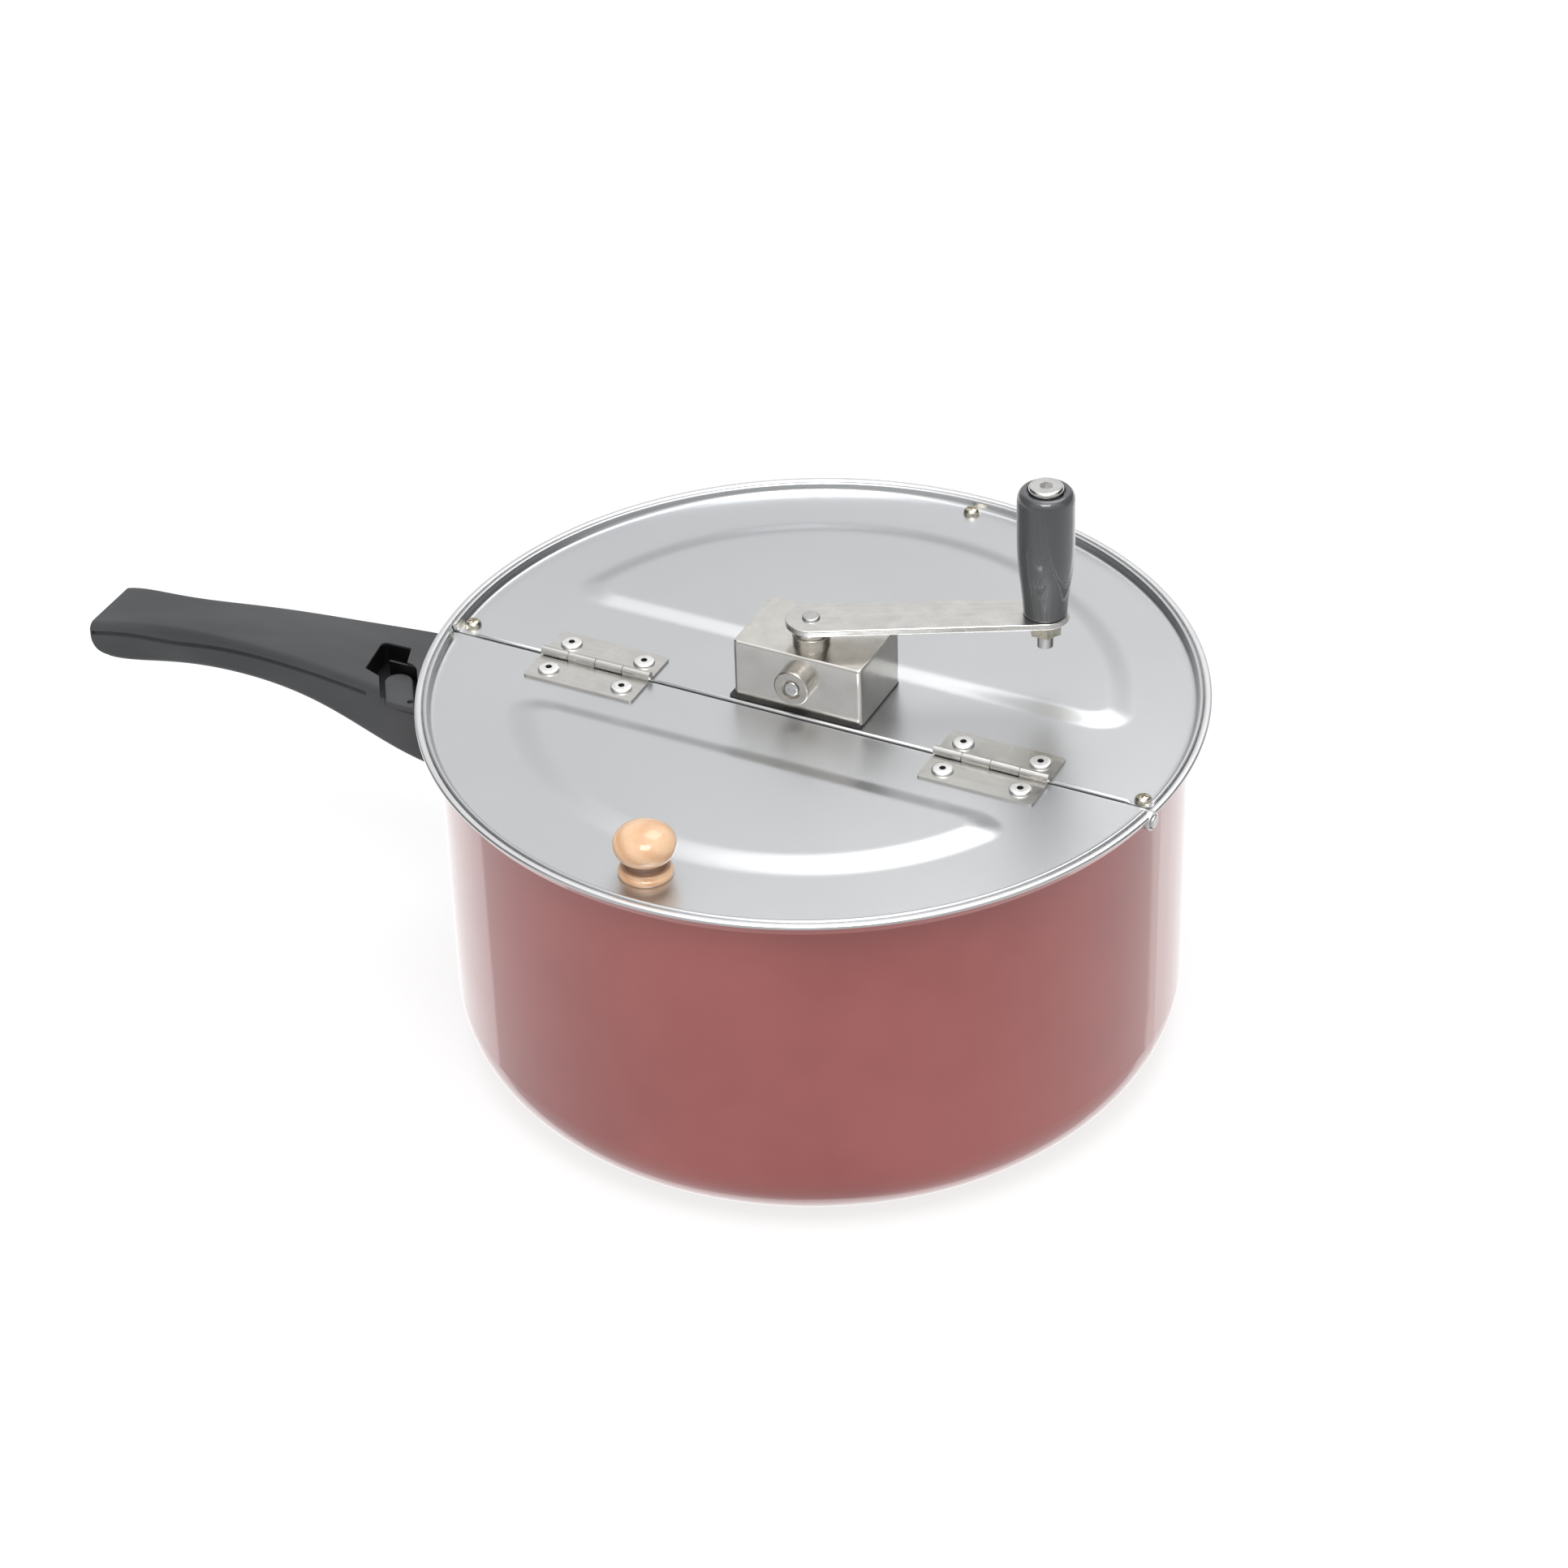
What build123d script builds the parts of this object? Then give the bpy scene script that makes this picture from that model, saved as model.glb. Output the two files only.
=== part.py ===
from build123d import *

import os
from math import cos, degrees, pi, radians, sin, sqrt, tan

# Hand cranked stovetop popcorn popper: an enamelled pot with a bolted lid half, a hinged
# lid flap, and a mitre gearbox that turns a wire stirrer from a crank on top of the lid.
# Millimetres. The origin is the centre of the pot's base, +Z is up, the handle points
# along -X and the flap lies towards -Y.

# ---------------------------------------------------------------- driving dimensions

# pot
wall_top_radius = 123.0
wall_taper = 1.0
wall = 1.6
floor = 2.6
base_corner_radius = 24.8

# rolled rim, and the collar that the lid lies in
rim_overhang = 7.0
rim_height = 131.0
bead_width = 2.5
bead_height = 2.1
bead_round = 0.7
bead_cover = 0.8
upstand = 1.0
collar_thickness = 2.0
collar_ledge = 6.0
collar_flare = 1.1
rim_lug_radius = 2.8
rim_lug_thickness = 1.7
rim_lug_drop = 2.8
rim_lug_azimuth = -9.1
rim_rivet_radius = 1.1
rim_rivet_head_radius = 2.0
rim_rivet_head = 0.8

# lid sheet
lid_thickness = 1.0
lid_sink = 2.8
lip_gap = 0.6
lip_lean = 0.9
lip_thickness = 1.0
split_y = -15.0
split_gap = 0.6
flap_rest_gap = 0.1
hem_width = 1.1
hem_height = 0.9
hem_screw_gap = 4.0
hem_clearance = 0.4
lip_relief = 2.4

# pressed half-moon panels
panel_height = 1.6
panel_corner = 16.0
panel_edge_slope = 0.75
front_panel_margin = 26.0
front_panel_edge = 22.6
front_panel_band = 9.5
back_panel_margin = 21.0
back_panel_edge = 33.6
back_panel_band = 8.2

# screws that hold the back half of the lid to the collar
lid_screw_azimuths = (-5.5, 89.0, 184.4)
lid_screw_inset = 4.0
lid_screw_radius = 1.4
lid_screw_head_radius = 2.8
lid_screw_head = 2.0
lid_screw_grip = 1.6

# hinges
hinge_centres_x = (-72.0, 70.5)
hinge_length = 40.0
hinge_reach = 14.0
hinge_lift = 0.2
leaf_thickness = 0.8
leaf_corner = 1.0
knuckles = 4
knuckle_radius = 1.6
knuckle_gap = 0.25
knuckle_clearance = 0.3
hinge_pin_radius = 0.9
pin_clearance = 0.05
rivet_offset_x = 13.5
rivet_offset_y = 8.1
rivet_radius = 1.5
rivet_eye_radius = 0.75
rivet_head_radius = 3.7
rivet_head = 1.0
rivet_tail_radius = 2.4
rivet_tail = 0.9

# wooden knob
knob_x = -5.0
knob_panel_gap = 0.4
knob_foot_radius = 8.8
knob_foot = 2.0
knob_step_radius = 7.9
knob_step = 1.5
knob_neck_radius = 6.9
knob_neck = 2.0
knob_cap_radius = 10.6
knob_cap_drop = 5.5
knob_cap_rise = 7.5
knob_screw_radius = 2.0
knob_screw_depth = 9.0
knob_screw_head_radius = 3.6
knob_screw_head = 2.2
knob_washer_radius = 4.8
knob_washer = 0.8

# gearbox
box_length = 46.0
box_depth = 29.6
box_front_y = -11.6
box_height = 22.0
box_wall = 1.5
box_corner = 1.5
box_edge_round = 0.8
gasket = 0.8
gasket_margin = 1.4
post_radius = 3.0
post_inset = 4.4
box_screw_radius = 1.25
box_screw_grip = 8.0
box_screw_head_radius = 2.5
box_screw_head = 1.6

# mitre gears: three alike, whose axes meet at the apex
gear_teeth = 16
gear_radius = 7.0
gear_face = 3.0
gear_addendum = 0.7
gear_dedendum = 0.95
tooth_thickness = 1.1
tooth_slope = 20.0
tooth_root_overlap = 0.2
gear_rim = 0.3
gear_hub_radius = 5.0
gear_hub_reach = 8.5
gear_apex_height = 11.8
shaft_radius = 3.0
running_clearance = 0.05
end_play = 0.1

# bushes and idler axle
bush_neck_radius = 4.5
bush_edge_round = 0.6
top_bush_radius = 6.3
top_bush_height = 2.6
axle_bush_radius = 6.25
axle_bush_reach = 4.4
axle_bush_recess_radius = 3.6
axle_bush_recess = 1.2
axle_radius = 2.0
axle_collar_radius = 3.2
axle_collar = 1.0
axle_screw_radius = 1.0
axle_screw_head_radius = 2.7
axle_screw_head = 1.4
axle_screw_grip = 5.0
bush_flange_radius = 6.0
bush_nut_flats = 13.0
bush_nut = 2.2
clip_radius = 5.5
clip_groove_radius = 2.4
clip_thickness = 0.8

# crank
crank_azimuth = 26.5
crank_throw = 75.8
arm_hub_radius = 8.5
arm_eye_radius = 7.9
arm_thickness = 2.2
arm_edge_round = 0.4
spacer_foot_radius = 5.8
spacer_foot = 1.4
spacer_neck_radius = 5.1
spacer_neck = 1.7
tenon_radius = 2.4
tenon_head_radius = 3.0
tenon_head = 0.8

# crank grip and its bolt
grip_length = 46.2
grip_foot_radius = 7.1
grip_waist_radius = 8.6
grip_waist_height = 15.0
grip_radius = 9.35
grip_shoulder = 8.0
grip_top_round = 3.0
grip_recess_radius = 6.7
grip_recess = 1.5
grip_clearance = 0.08
bolt_radius = 3.0
bolt_thread_radius = 2.7
bolt_head_radius = 5.75
bolt_head = 3.0
bolt_head_round = 1.1
bolt_socket_flats = 4.0
bolt_socket = 1.3
grip_nut_flats = 9.6
grip_nut_flange_radius = 5.75
grip_nut_flange = 0.9
grip_nut = 4.4
bolt_end = 5.4

# stirrer
stirrer_foot = 4.4
hub_radius = 7.0
hub_height = 12.0
shaft_end_gap = 0.6
set_screw_radius = 1.6
set_screw_height = 12.8
set_screw_proud = 0.6
set_screw_gap = 0.05
set_screw_slot = 0.7
wire_radius = 2.0
wire_height = 7.2
wire_straight = 22.0
wire_end_margin = 24.0
wire_end_y = 30.0
wire_gap = 0.2

# handle: distance out from the pot's wall, top, underside and half width, to the tip
handle_stations = (
    (-7.0, 99.8, 69.5, 22.3),
    (12.0, 99.8, 73.2, 21.1),
    (32.0, 99.9, 77.4, 19.9),
    (52.0, 99.8, 82.2, 17.3),
    (77.0, 99.2, 85.0, 14.6),
    (102.0, 97.4, 83.5, 12.5),
    (127.0, 94.5, 79.2, 11.9),
    (152.5, 90.2, 78.6, 13.6),
)
handle_edge_round = 2.8
handle_tip_round = 6.5
handle_root_gap = 0.2
fit_gap = 0.1

# window and notch in the handle's root: places are distance out from the wall, and y
window_corners = ((44.7, 6.1), (33.6, 6.4), (30.4, -2.1), (28.0, -9.0), (35.0, -13.0), (42.0, -10.5))
window_corner_radius = 2.0
window_floor = 91.0
rib_length = 10.5
rib_thickness = 0.9
rib_place = (32.0, -2.1)
rib_drop = 0.7

# latch plate that lies in the notch
latch_start = (30.6, -8.2)
latch_end = (18.6, -27.7)
latch_side_y = -20.4
latch_radius = 4.9
latch_slit = 1.6
latch_top = 96.0
latch_thickness = 2.4
latch_eye = (20.9, -17.3)
latch_eye_radius = 1.1
latch_peg_radius = 2.2

# bracket that carries the handle
bracket_arc = 15.0
bracket_foot_height = 80.5
bracket_head_height = 95.0
bracket_plate = 2.0
tongue_reach = 34.0
tongue_width = 23.0
tongue_thickness = 5.0
tongue_height = 87.0
bracket_rivet_radius = 2.0
bracket_rivet_azimuths = (175.5, 184.5)
bracket_rivet_height = 92.0
bracket_rivet_head_radius = 2.8
bracket_rivet_head = 1.4
handle_screw_out = 17.0
handle_screw_radius = 2.0
handle_screw_head_radius = 4.0
handle_screw_head = 2.4
handle_screw_seat = 81.0
counterbore_clearance = 0.3

# ---------------------------------------------------------------- places that follow

wall_foot_radius = wall_top_radius - wall_taper
rim_radius = wall_top_radius + rim_overhang
collar_bore_radius = wall_top_radius - collar_ledge

lid_top = rim_height - lid_sink
lid_seat = lid_top - lid_thickness
wall_height = lid_seat - collar_thickness
upstand_bore = rim_radius - bead_width
upstand_radius = upstand_bore + upstand
seat_radius = upstand_bore - collar_flare
upstand_top = rim_height - bead_cover
bead_bottom = rim_height - bead_height
lip_radius = upstand_bore - lip_gap
lip_foot_radius = lip_radius - lip_lean
lid_screw_circle = lip_foot_radius - lid_screw_inset
hem_end_x = lid_screw_circle - hem_screw_gap
front_panel_radius = lip_foot_radius - front_panel_margin
back_panel_radius = lip_foot_radius - back_panel_margin
knob_y = -front_panel_radius - knob_panel_gap - knob_foot_radius

axis_height = lid_top + hinge_lift + knuckle_radius
leaf_top = lid_top + leaf_thickness
knuckle_length = (hinge_length - (knuckles - 1) * knuckle_gap) / knuckles

box_centre_y = box_front_y + box_depth / 2
box_top = lid_top + box_height
box_seat = lid_top + gasket
gear_apex = Vector(0, 0, lid_top + gear_apex_height)
post_places = [
    (side_x * (box_length / 2 - post_inset), box_centre_y + side_y * (box_depth / 2 - post_inset))
    for side_x in (-1, 1)
    for side_y in (-1, 1)
]

spacer_seat = box_top + top_bush_height + end_play
arm_seat = spacer_seat + spacer_foot + spacer_neck
arm_top = arm_seat + arm_thickness
grip_place = Vector(crank_throw, 0, 0).rotate(Axis.Z, crank_azimuth)
grip_foot = arm_top + end_play
grip_recess_floor = grip_foot + grip_length - grip_recess
bolt_head_seat = grip_recess_floor + end_play

# ---------------------------------------------------------------- helpers


def wall_radius(height):
    """Outside radius of the slightly tapered pot wall at a height above the base."""
    return wall_foot_radius + (wall_top_radius - wall_foot_radius) * height / wall_height


def section_plane(azimuth):
    """Upright plane through the pot's axis: its X runs outwards, its Y runs up."""
    angle = radians(azimuth)
    return Plane((0, 0, 0), x_dir=(cos(angle), sin(angle), 0), z_dir=(sin(angle), -cos(angle), 0))


def radial_plane(azimuth, radius, height):
    """Plane square to a radius of the pot: its Z points outwards."""
    outwards = Vector(1, 0, 0).rotate(Axis.Z, azimuth)
    across = Vector(0, 1, 0).rotate(Axis.Z, azimuth)
    return Plane(outwards * radius + Vector(0, 0, height), x_dir=across, z_dir=outwards)


def beside_wall(out, y):
    """Place on the handle's side of the pot, so far out from the wall."""
    return (-wall_top_radius - out, y)


def level_plane(x, y, height):
    """Level plane at a place, with its Z up."""
    return Plane((x, y, height))


def hanging_plane(x, y, height):
    """Level plane at a place, with its Z down."""
    return Plane((x, y, height), x_dir=(1, 0, 0), z_dir=(0, 0, -1))


def cross_plane(x, y, height):
    """Upright plane square to the X axis: its X runs along +Y, its Y runs up."""
    return Plane((x, y, height), x_dir=(0, 1, 0), z_dir=(1, 0, 0))


def disc(plane, radius, height, mode=Mode.ADD):
    """Adds a round disc or pin that stands on a plane to the part being built."""
    with BuildSketch(plane) as outline:
        Circle(radius)
    extrude(outline.sketch, amount=height, mode=mode)


def drill(plane, radius, depth):
    """Cuts a round hole down from a plane, against its Z."""
    disc(plane, radius, -depth, Mode.SUBTRACT)


def head(plane, radius, height, rounding):
    """Adds a round head with a rounded top edge, standing on a plane."""
    with BuildSketch(Plane(plane.origin, x_dir=plane.x_dir, z_dir=-plane.y_dir)) as outline:
        with Locations((radius / 2, height / 2)):
            Rectangle(radius, height)
        fillet(outline.vertices().group_by(Axis.X)[-1].sort_by(Axis.Y)[-1], rounding)
    revolve(outline.sketch, axis=Axis(plane.origin, plane.z_dir))


def pan_screw(plane, shank_radius, shank, head_radius, head_height):
    """Cross-slot pan screw: the plane is its seat, and its Z points at the head."""
    slot_width = head_radius * 0.22
    with BuildPart() as screw:
        head(plane, head_radius, head_height, head_height * 0.55)
        with BuildSketch(plane.offset(head_height)):
            Rectangle(head_radius, slot_width)
            Rectangle(slot_width, head_radius)
        extrude(amount=-head_height * 0.45, mode=Mode.SUBTRACT)
        disc(plane, shank_radius, -shank)
    return screw.part


def finish(builder, name):
    """Labels a finished piece and writes it."""
    builder.part.label = name
    export_step(builder.part, f"parts/{name}.step")


os.makedirs("parts", exist_ok=True)

# ---------------------------------------------------------------- pot

bracket_rivet_planes = [
    radial_plane(azimuth, wall_radius(bracket_rivet_height), bracket_rivet_height)
    for azimuth in bracket_rivet_azimuths
]

with BuildPart() as pot_shell:
    with BuildSketch(Plane.XZ) as shell_profile:
        with BuildLine():
            Polyline(
                (0, 0),
                (wall_foot_radius, 0),
                (wall_top_radius, wall_height),
                (wall_top_radius - wall, wall_height),
                (wall_foot_radius - wall, floor),
                (0, floor),
                close=True,
            )
        make_face()
        outer_foot = shell_profile.vertices().sort_by_distance((wall_foot_radius, 0))[0]
        fillet(outer_foot, base_corner_radius)
        inner_foot = shell_profile.vertices().sort_by_distance((wall_foot_radius - wall, floor))[0]
        fillet(inner_foot, base_corner_radius - wall)
    revolve(axis=Axis.Z)
    for plane in bracket_rivet_planes:
        drill(plane.offset(wall), bracket_rivet_radius, 3 * wall)
finish(pot_shell, "pot_shell")

# Flat ring on top of the wall, with an upstand: the lid lies in it.
with BuildPart() as lid_collar:
    with BuildSketch(Plane.XZ):
        with BuildLine():
            Polyline(
                (collar_bore_radius, wall_height),
                (seat_radius - collar_flare / 2, wall_height),
                (seat_radius + upstand, lid_seat - upstand),
                (upstand_radius, bead_bottom),
                (upstand_radius, upstand_top),
                (upstand_bore, upstand_top),
                (upstand_bore, bead_bottom + bead_cover),
                (seat_radius, lid_seat),
                (collar_bore_radius, lid_seat),
                close=True,
            )
        make_face()
    revolve(axis=Axis.Z)
    for azimuth in lid_screw_azimuths:
        place = Vector(lid_screw_circle, 0, lid_seat).rotate(Axis.Z, azimuth)
        drill(Plane(place), lid_screw_radius, lid_screw_grip)
    lug_plane = radial_plane(rim_lug_azimuth, rim_radius, rim_height - rim_lug_drop)
    drill(lug_plane, rim_rivet_radius, rim_radius - seat_radius)
finish(lid_collar, "lid_collar")

# Rolled bead over the upstand, closed at one side by a round lug.
lug_foot = radial_plane(rim_lug_azimuth, upstand_radius, rim_height - rim_lug_drop)
lug_face = lug_foot.offset(rim_lug_thickness)

with BuildPart() as rim_ring:
    with BuildSketch(Plane.XZ) as bead_profile:
        with BuildLine():
            Polyline(
                (upstand_bore, upstand_top),
                (upstand_bore, rim_height),
                (rim_radius, rim_height),
                (rim_radius, bead_bottom),
                (upstand_radius, bead_bottom),
                (upstand_radius, upstand_top),
                close=True,
            )
        make_face()
        fillet(bead_profile.vertices().group_by(Axis.X)[-1], bead_round)
    revolve(axis=Axis.Z)
    disc(lug_foot, rim_lug_radius, rim_lug_thickness)
    drill(lug_face, rim_rivet_radius, rim_lug_thickness + upstand)
finish(rim_ring, "rim_ring")

with BuildPart() as rim_rivet:
    head(lug_face, rim_rivet_head_radius, rim_rivet_head, rim_rivet_head * 0.6)
    disc(lug_face, rim_rivet_radius, -rim_lug_thickness - upstand)
finish(rim_rivet, "rim_rivet")

# ---------------------------------------------------------------- lid sheets


def half_moon(height, radius, edge, corner, side):
    """Outline of a half-moon panel: an arc about the pot's axis and a straight edge."""
    beyond = 2 * radius
    with BuildSketch(Plane.XY.offset(height)) as outline:
        Circle(radius)
        with Locations((0, split_y + side * (edge - beyond))):
            Rectangle(2 * beyond, 2 * beyond, mode=Mode.SUBTRACT)
        fillet(outline.vertices(), corner)
    return outline.sketch


def panel(foot_height, inset, radius, edge, band, side, mode):
    """Raised half-moon with sloping sides, or the hollow that is pressed up under it."""
    foot = half_moon(foot_height, radius - inset, edge + inset, panel_corner, side)
    top = half_moon(
        foot_height + panel_height,
        radius - inset - band,
        edge + inset + band * panel_edge_slope,
        panel_corner - band / 2,
        side,
    )
    loft([foot, top], mode=mode)


def lid_half(side, underside, radius, edge, band):
    """One half of the pressed lid, with its lip and panel: side is 1 at the back, -1 in front."""
    with BuildPart() as half:
        with BuildSketch(Plane.XZ):
            with BuildLine():
                Polyline(
                    (0, underside),
                    (lip_foot_radius, underside),
                    (lip_radius, rim_height),
                    (lip_radius - lip_thickness, rim_height),
                    (lip_foot_radius - lip_thickness, lid_top),
                    (0, lid_top),
                    close=True,
                )
            make_face()
        revolve(axis=Axis.Z)
        fillet(half.edges().group_by(Axis.Z)[-1], lip_thickness * 0.4)
        panel(lid_top, 0, radius, edge, band, side, Mode.ADD)
        panel(underside, lid_thickness, radius, edge, band, side, Mode.SUBTRACT)
        split(
            bisect_by=Plane(
                (0, split_y + side * split_gap / 2, 0), x_dir=(1, 0, 0), z_dir=(0, side, 0)
            )
        )
        for centre_x in hinge_centres_x:
            for shift in (-rivet_offset_x, rivet_offset_x):
                place = level_plane(centre_x + shift, split_y + side * rivet_offset_y, leaf_top)
                drill(place, rivet_radius, leaf_thickness + 2 * lid_thickness)
    return half.part


hem_edge = split_y + split_gap / 2
hem_breaks = [
    centre_x + side * (hinge_length / 2 + hem_clearance)
    for centre_x in hinge_centres_x
    for side in (-1, 1)
]
hem_ends = sorted([-hem_end_x, hem_end_x] + hem_breaks)
fixed_sheet = lid_half(1, lid_seat, back_panel_radius, back_panel_edge, back_panel_band)
flap_sheet = lid_half(
    -1, lid_seat + flap_rest_gap, front_panel_radius, front_panel_edge, front_panel_band
)

with BuildPart() as lid_fixed:
    add(fixed_sheet)
    for start, end in zip(hem_ends[0::2], hem_ends[1::2]):
        with BuildSketch(Plane.YZ.offset(start)) as hem_profile:
            with Locations((hem_edge + hem_width / 2, lid_top + hem_height / 2)):
                Rectangle(hem_width, hem_height)
            fillet(hem_profile.vertices().group_by(Axis.Y)[-1], hem_width * 0.45)
        extrude(amount=end - start)
    drill(Plane.XY.offset(leaf_top), bush_neck_radius, 3 * lid_thickness)
    for x, y in post_places:
        drill(level_plane(x, y, leaf_top), box_screw_radius, 3 * lid_thickness)
    for azimuth in lid_screw_azimuths:
        place = Vector(lid_screw_circle, 0, leaf_top).rotate(Axis.Z, azimuth)
        drill(Plane(place), lid_screw_radius, 3 * lid_thickness)
finish(lid_fixed, "lid_fixed")

# The flap's lip stops short of the hinge line, so that it clears the fixed half as it turns.
with BuildPart() as lid_flap:
    add(flap_sheet)
    with BuildSketch(Plane.XY.offset(lid_top)):
        with Locations((0, split_y)):
            Rectangle(2 * rim_radius, 2 * lip_relief)
    extrude(amount=lid_sink, mode=Mode.SUBTRACT)
    drill(level_plane(knob_x, knob_y, leaf_top), knob_screw_radius, 3 * lid_thickness)
finish(lid_flap, "lid_flap")

with BuildPart() as lid_screws:
    for azimuth in lid_screw_azimuths:
        place = Vector(lid_screw_circle, 0, lid_top).rotate(Axis.Z, azimuth)
        slot_direction = Vector(1, 0, 0).rotate(Axis.Z, 3 * azimuth)
        add(
            pan_screw(
                Plane(place, x_dir=slot_direction),
                lid_screw_radius,
                lid_thickness + lid_screw_grip,
                lid_screw_head_radius,
                lid_screw_head,
            )
        )
finish(lid_screws, "lid_screws")

# ---------------------------------------------------------------- hinges


def hinge_leaf(centre_x, side, own):
    """One leaf of a butt hinge. side is 1 on the fixed half; own numbers its knuckles."""
    near = knuckle_radius + knuckle_clearance
    low_end = centre_x - hinge_length / 2
    with BuildPart() as leaf:
        with BuildSketch(level_plane(centre_x, split_y, lid_top)) as outline:
            with Locations((0, side * (near + hinge_reach) / 2)):
                Rectangle(hinge_length, hinge_reach - near)
            fillet(outline.vertices().group_by(Axis.Y)[-1 if side > 0 else 0], leaf_corner)
        extrude(amount=leaf_thickness)
        for number in own:
            start = low_end + number * (knuckle_length + knuckle_gap)
            with BuildSketch(level_plane(start, split_y, lid_top)):
                with Locations((knuckle_length / 2, side * near / 2)):
                    Rectangle(knuckle_length, near)
            extrude(amount=leaf_thickness)
            disc(cross_plane(start, split_y, axis_height), knuckle_radius, knuckle_length)
        far_end = cross_plane(low_end + hinge_length, split_y, axis_height)
        drill(far_end, hinge_pin_radius + pin_clearance, hinge_length)
        for shift in (-rivet_offset_x, rivet_offset_x):
            place = level_plane(centre_x + shift, split_y + side * rivet_offset_y, leaf_top)
            drill(place, rivet_radius, leaf_thickness)
    return leaf.part


def hinge_rivet(x, y, underside):
    """Hollow rivet through a hinge leaf and the lid, set over underneath."""
    top = level_plane(x, y, leaf_top)
    with BuildPart() as rivet:
        head(top, rivet_head_radius, rivet_head, rivet_head * 0.45)
        disc(top, rivet_radius, underside - leaf_top)
        disc(level_plane(x, y, underside), rivet_tail_radius, -rivet_tail)
        drill(top.offset(rivet_head), rivet_eye_radius, 2 * hinge_reach)
    return rivet.part


def hinge_rivet_set(side, underside):
    """The four rivets of one half of the lid."""
    y = split_y + side * rivet_offset_y
    return [
        hinge_rivet(centre_x + shift, y, underside)
        for centre_x in hinge_centres_x
        for shift in (-rivet_offset_x, rivet_offset_x)
    ]


fixed_leaves = [hinge_leaf(x, 1, range(0, knuckles, 2)) for x in hinge_centres_x]
flap_leaves = [hinge_leaf(x, -1, range(1, knuckles, 2)) for x in hinge_centres_x]
fixed_rivets = hinge_rivet_set(1, lid_seat)
flap_rivets = hinge_rivet_set(-1, lid_seat + flap_rest_gap)

with BuildPart() as hinge_leaves_fixed:
    add(fixed_leaves)
finish(hinge_leaves_fixed, "hinge_leaves_fixed")

with BuildPart() as hinge_leaves_flap:
    add(flap_leaves)
finish(hinge_leaves_flap, "hinge_leaves_flap")

# The pins are staked in the fixed leaves, and the flap's knuckles turn on them.
with BuildPart() as hinge_pins:
    for centre_x in hinge_centres_x:
        low_end = cross_plane(centre_x - hinge_length / 2, split_y, axis_height)
        disc(low_end, hinge_pin_radius, hinge_length)
finish(hinge_pins, "hinge_pins")

with BuildPart() as hinge_rivets_fixed:
    add(fixed_rivets)
finish(hinge_rivets_fixed, "hinge_rivets_fixed")

with BuildPart() as hinge_rivets_flap:
    add(flap_rivets)
finish(hinge_rivets_flap, "hinge_rivets_flap")

# ---------------------------------------------------------------- wooden knob

knob_section = Plane((knob_x, knob_y, lid_top), x_dir=(1, 0, 0), z_dir=(0, -1, 0))
knob_neck_top = knob_foot + knob_step + knob_neck
knob_waist = knob_neck_top + knob_cap_drop
flap_underside = lid_seat + flap_rest_gap
# where a Bezier quarter of an ellipse has its two middle points, as a part of each radius
quarter_round = 0.5523

with BuildPart() as wooden_knob:
    with BuildSketch(knob_section) as knob_profile:
        with BuildLine():
            Polyline(
                (0, knob_waist + knob_cap_rise),
                (0, 0),
                (knob_foot_radius, 0),
                (knob_foot_radius, knob_foot),
                (knob_step_radius, knob_foot),
                (knob_step_radius, knob_foot + knob_step),
                (knob_neck_radius, knob_foot + knob_step),
                (knob_neck_radius, knob_neck_top),
            )
            Bezier(
                (knob_neck_radius, knob_neck_top),
                (knob_cap_radius, knob_neck_top),
                (knob_cap_radius, knob_waist),
            )
            Bezier(
                (knob_cap_radius, knob_waist),
                (knob_cap_radius, knob_waist + knob_cap_rise * quarter_round),
                (knob_cap_radius * quarter_round, knob_waist + knob_cap_rise),
                (0, knob_waist + knob_cap_rise),
            )
        make_face()
        foot_edge = knob_profile.vertices().sort_by_distance((knob_foot_radius, knob_foot))[0]
        fillet(foot_edge, knob_foot * 0.35)
    revolve(axis=Axis(knob_section.origin, (0, 0, 1)))
    drill(level_plane(knob_x, knob_y, lid_top + knob_screw_depth), knob_screw_radius, knob_screw_depth)
finish(wooden_knob, "wooden_knob")

with BuildPart() as knob_washer_ring:
    below = hanging_plane(knob_x, knob_y, flap_underside)
    disc(below, knob_washer_radius, knob_washer)
    drill(below.offset(knob_washer), knob_screw_radius, knob_washer)
finish(knob_washer_ring, "knob_washer")

knob_screw_shape = pan_screw(
    below.offset(knob_washer),
    knob_screw_radius,
    knob_washer + lid_top - flap_underside + knob_screw_depth,
    knob_screw_head_radius,
    knob_screw_head,
)
with BuildPart() as knob_screw:
    add(knob_screw_shape)
finish(knob_screw, "knob_screw")

# ---------------------------------------------------------------- gearbox casing

front_plane = Plane((0, box_front_y, gear_apex.Z), x_dir=(1, 0, 0), z_dir=(0, -1, 0))
box_inside = box_height - gasket - box_wall

with BuildPart() as gearbox_gasket:
    with BuildSketch(Plane.XY.offset(lid_top)):
        with Locations((-gasket_margin / 2, box_centre_y - gasket_margin / 2)):
            RectangleRounded(box_length + gasket_margin, box_depth + gasket_margin, box_corner)
    extrude(amount=gasket)
    drill(Plane.XY.offset(box_seat), bush_neck_radius, gasket)
    for x, y in post_places:
        drill(level_plane(x, y, box_seat), box_screw_radius, gasket)
finish(gearbox_gasket, "gearbox_gasket")

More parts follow.
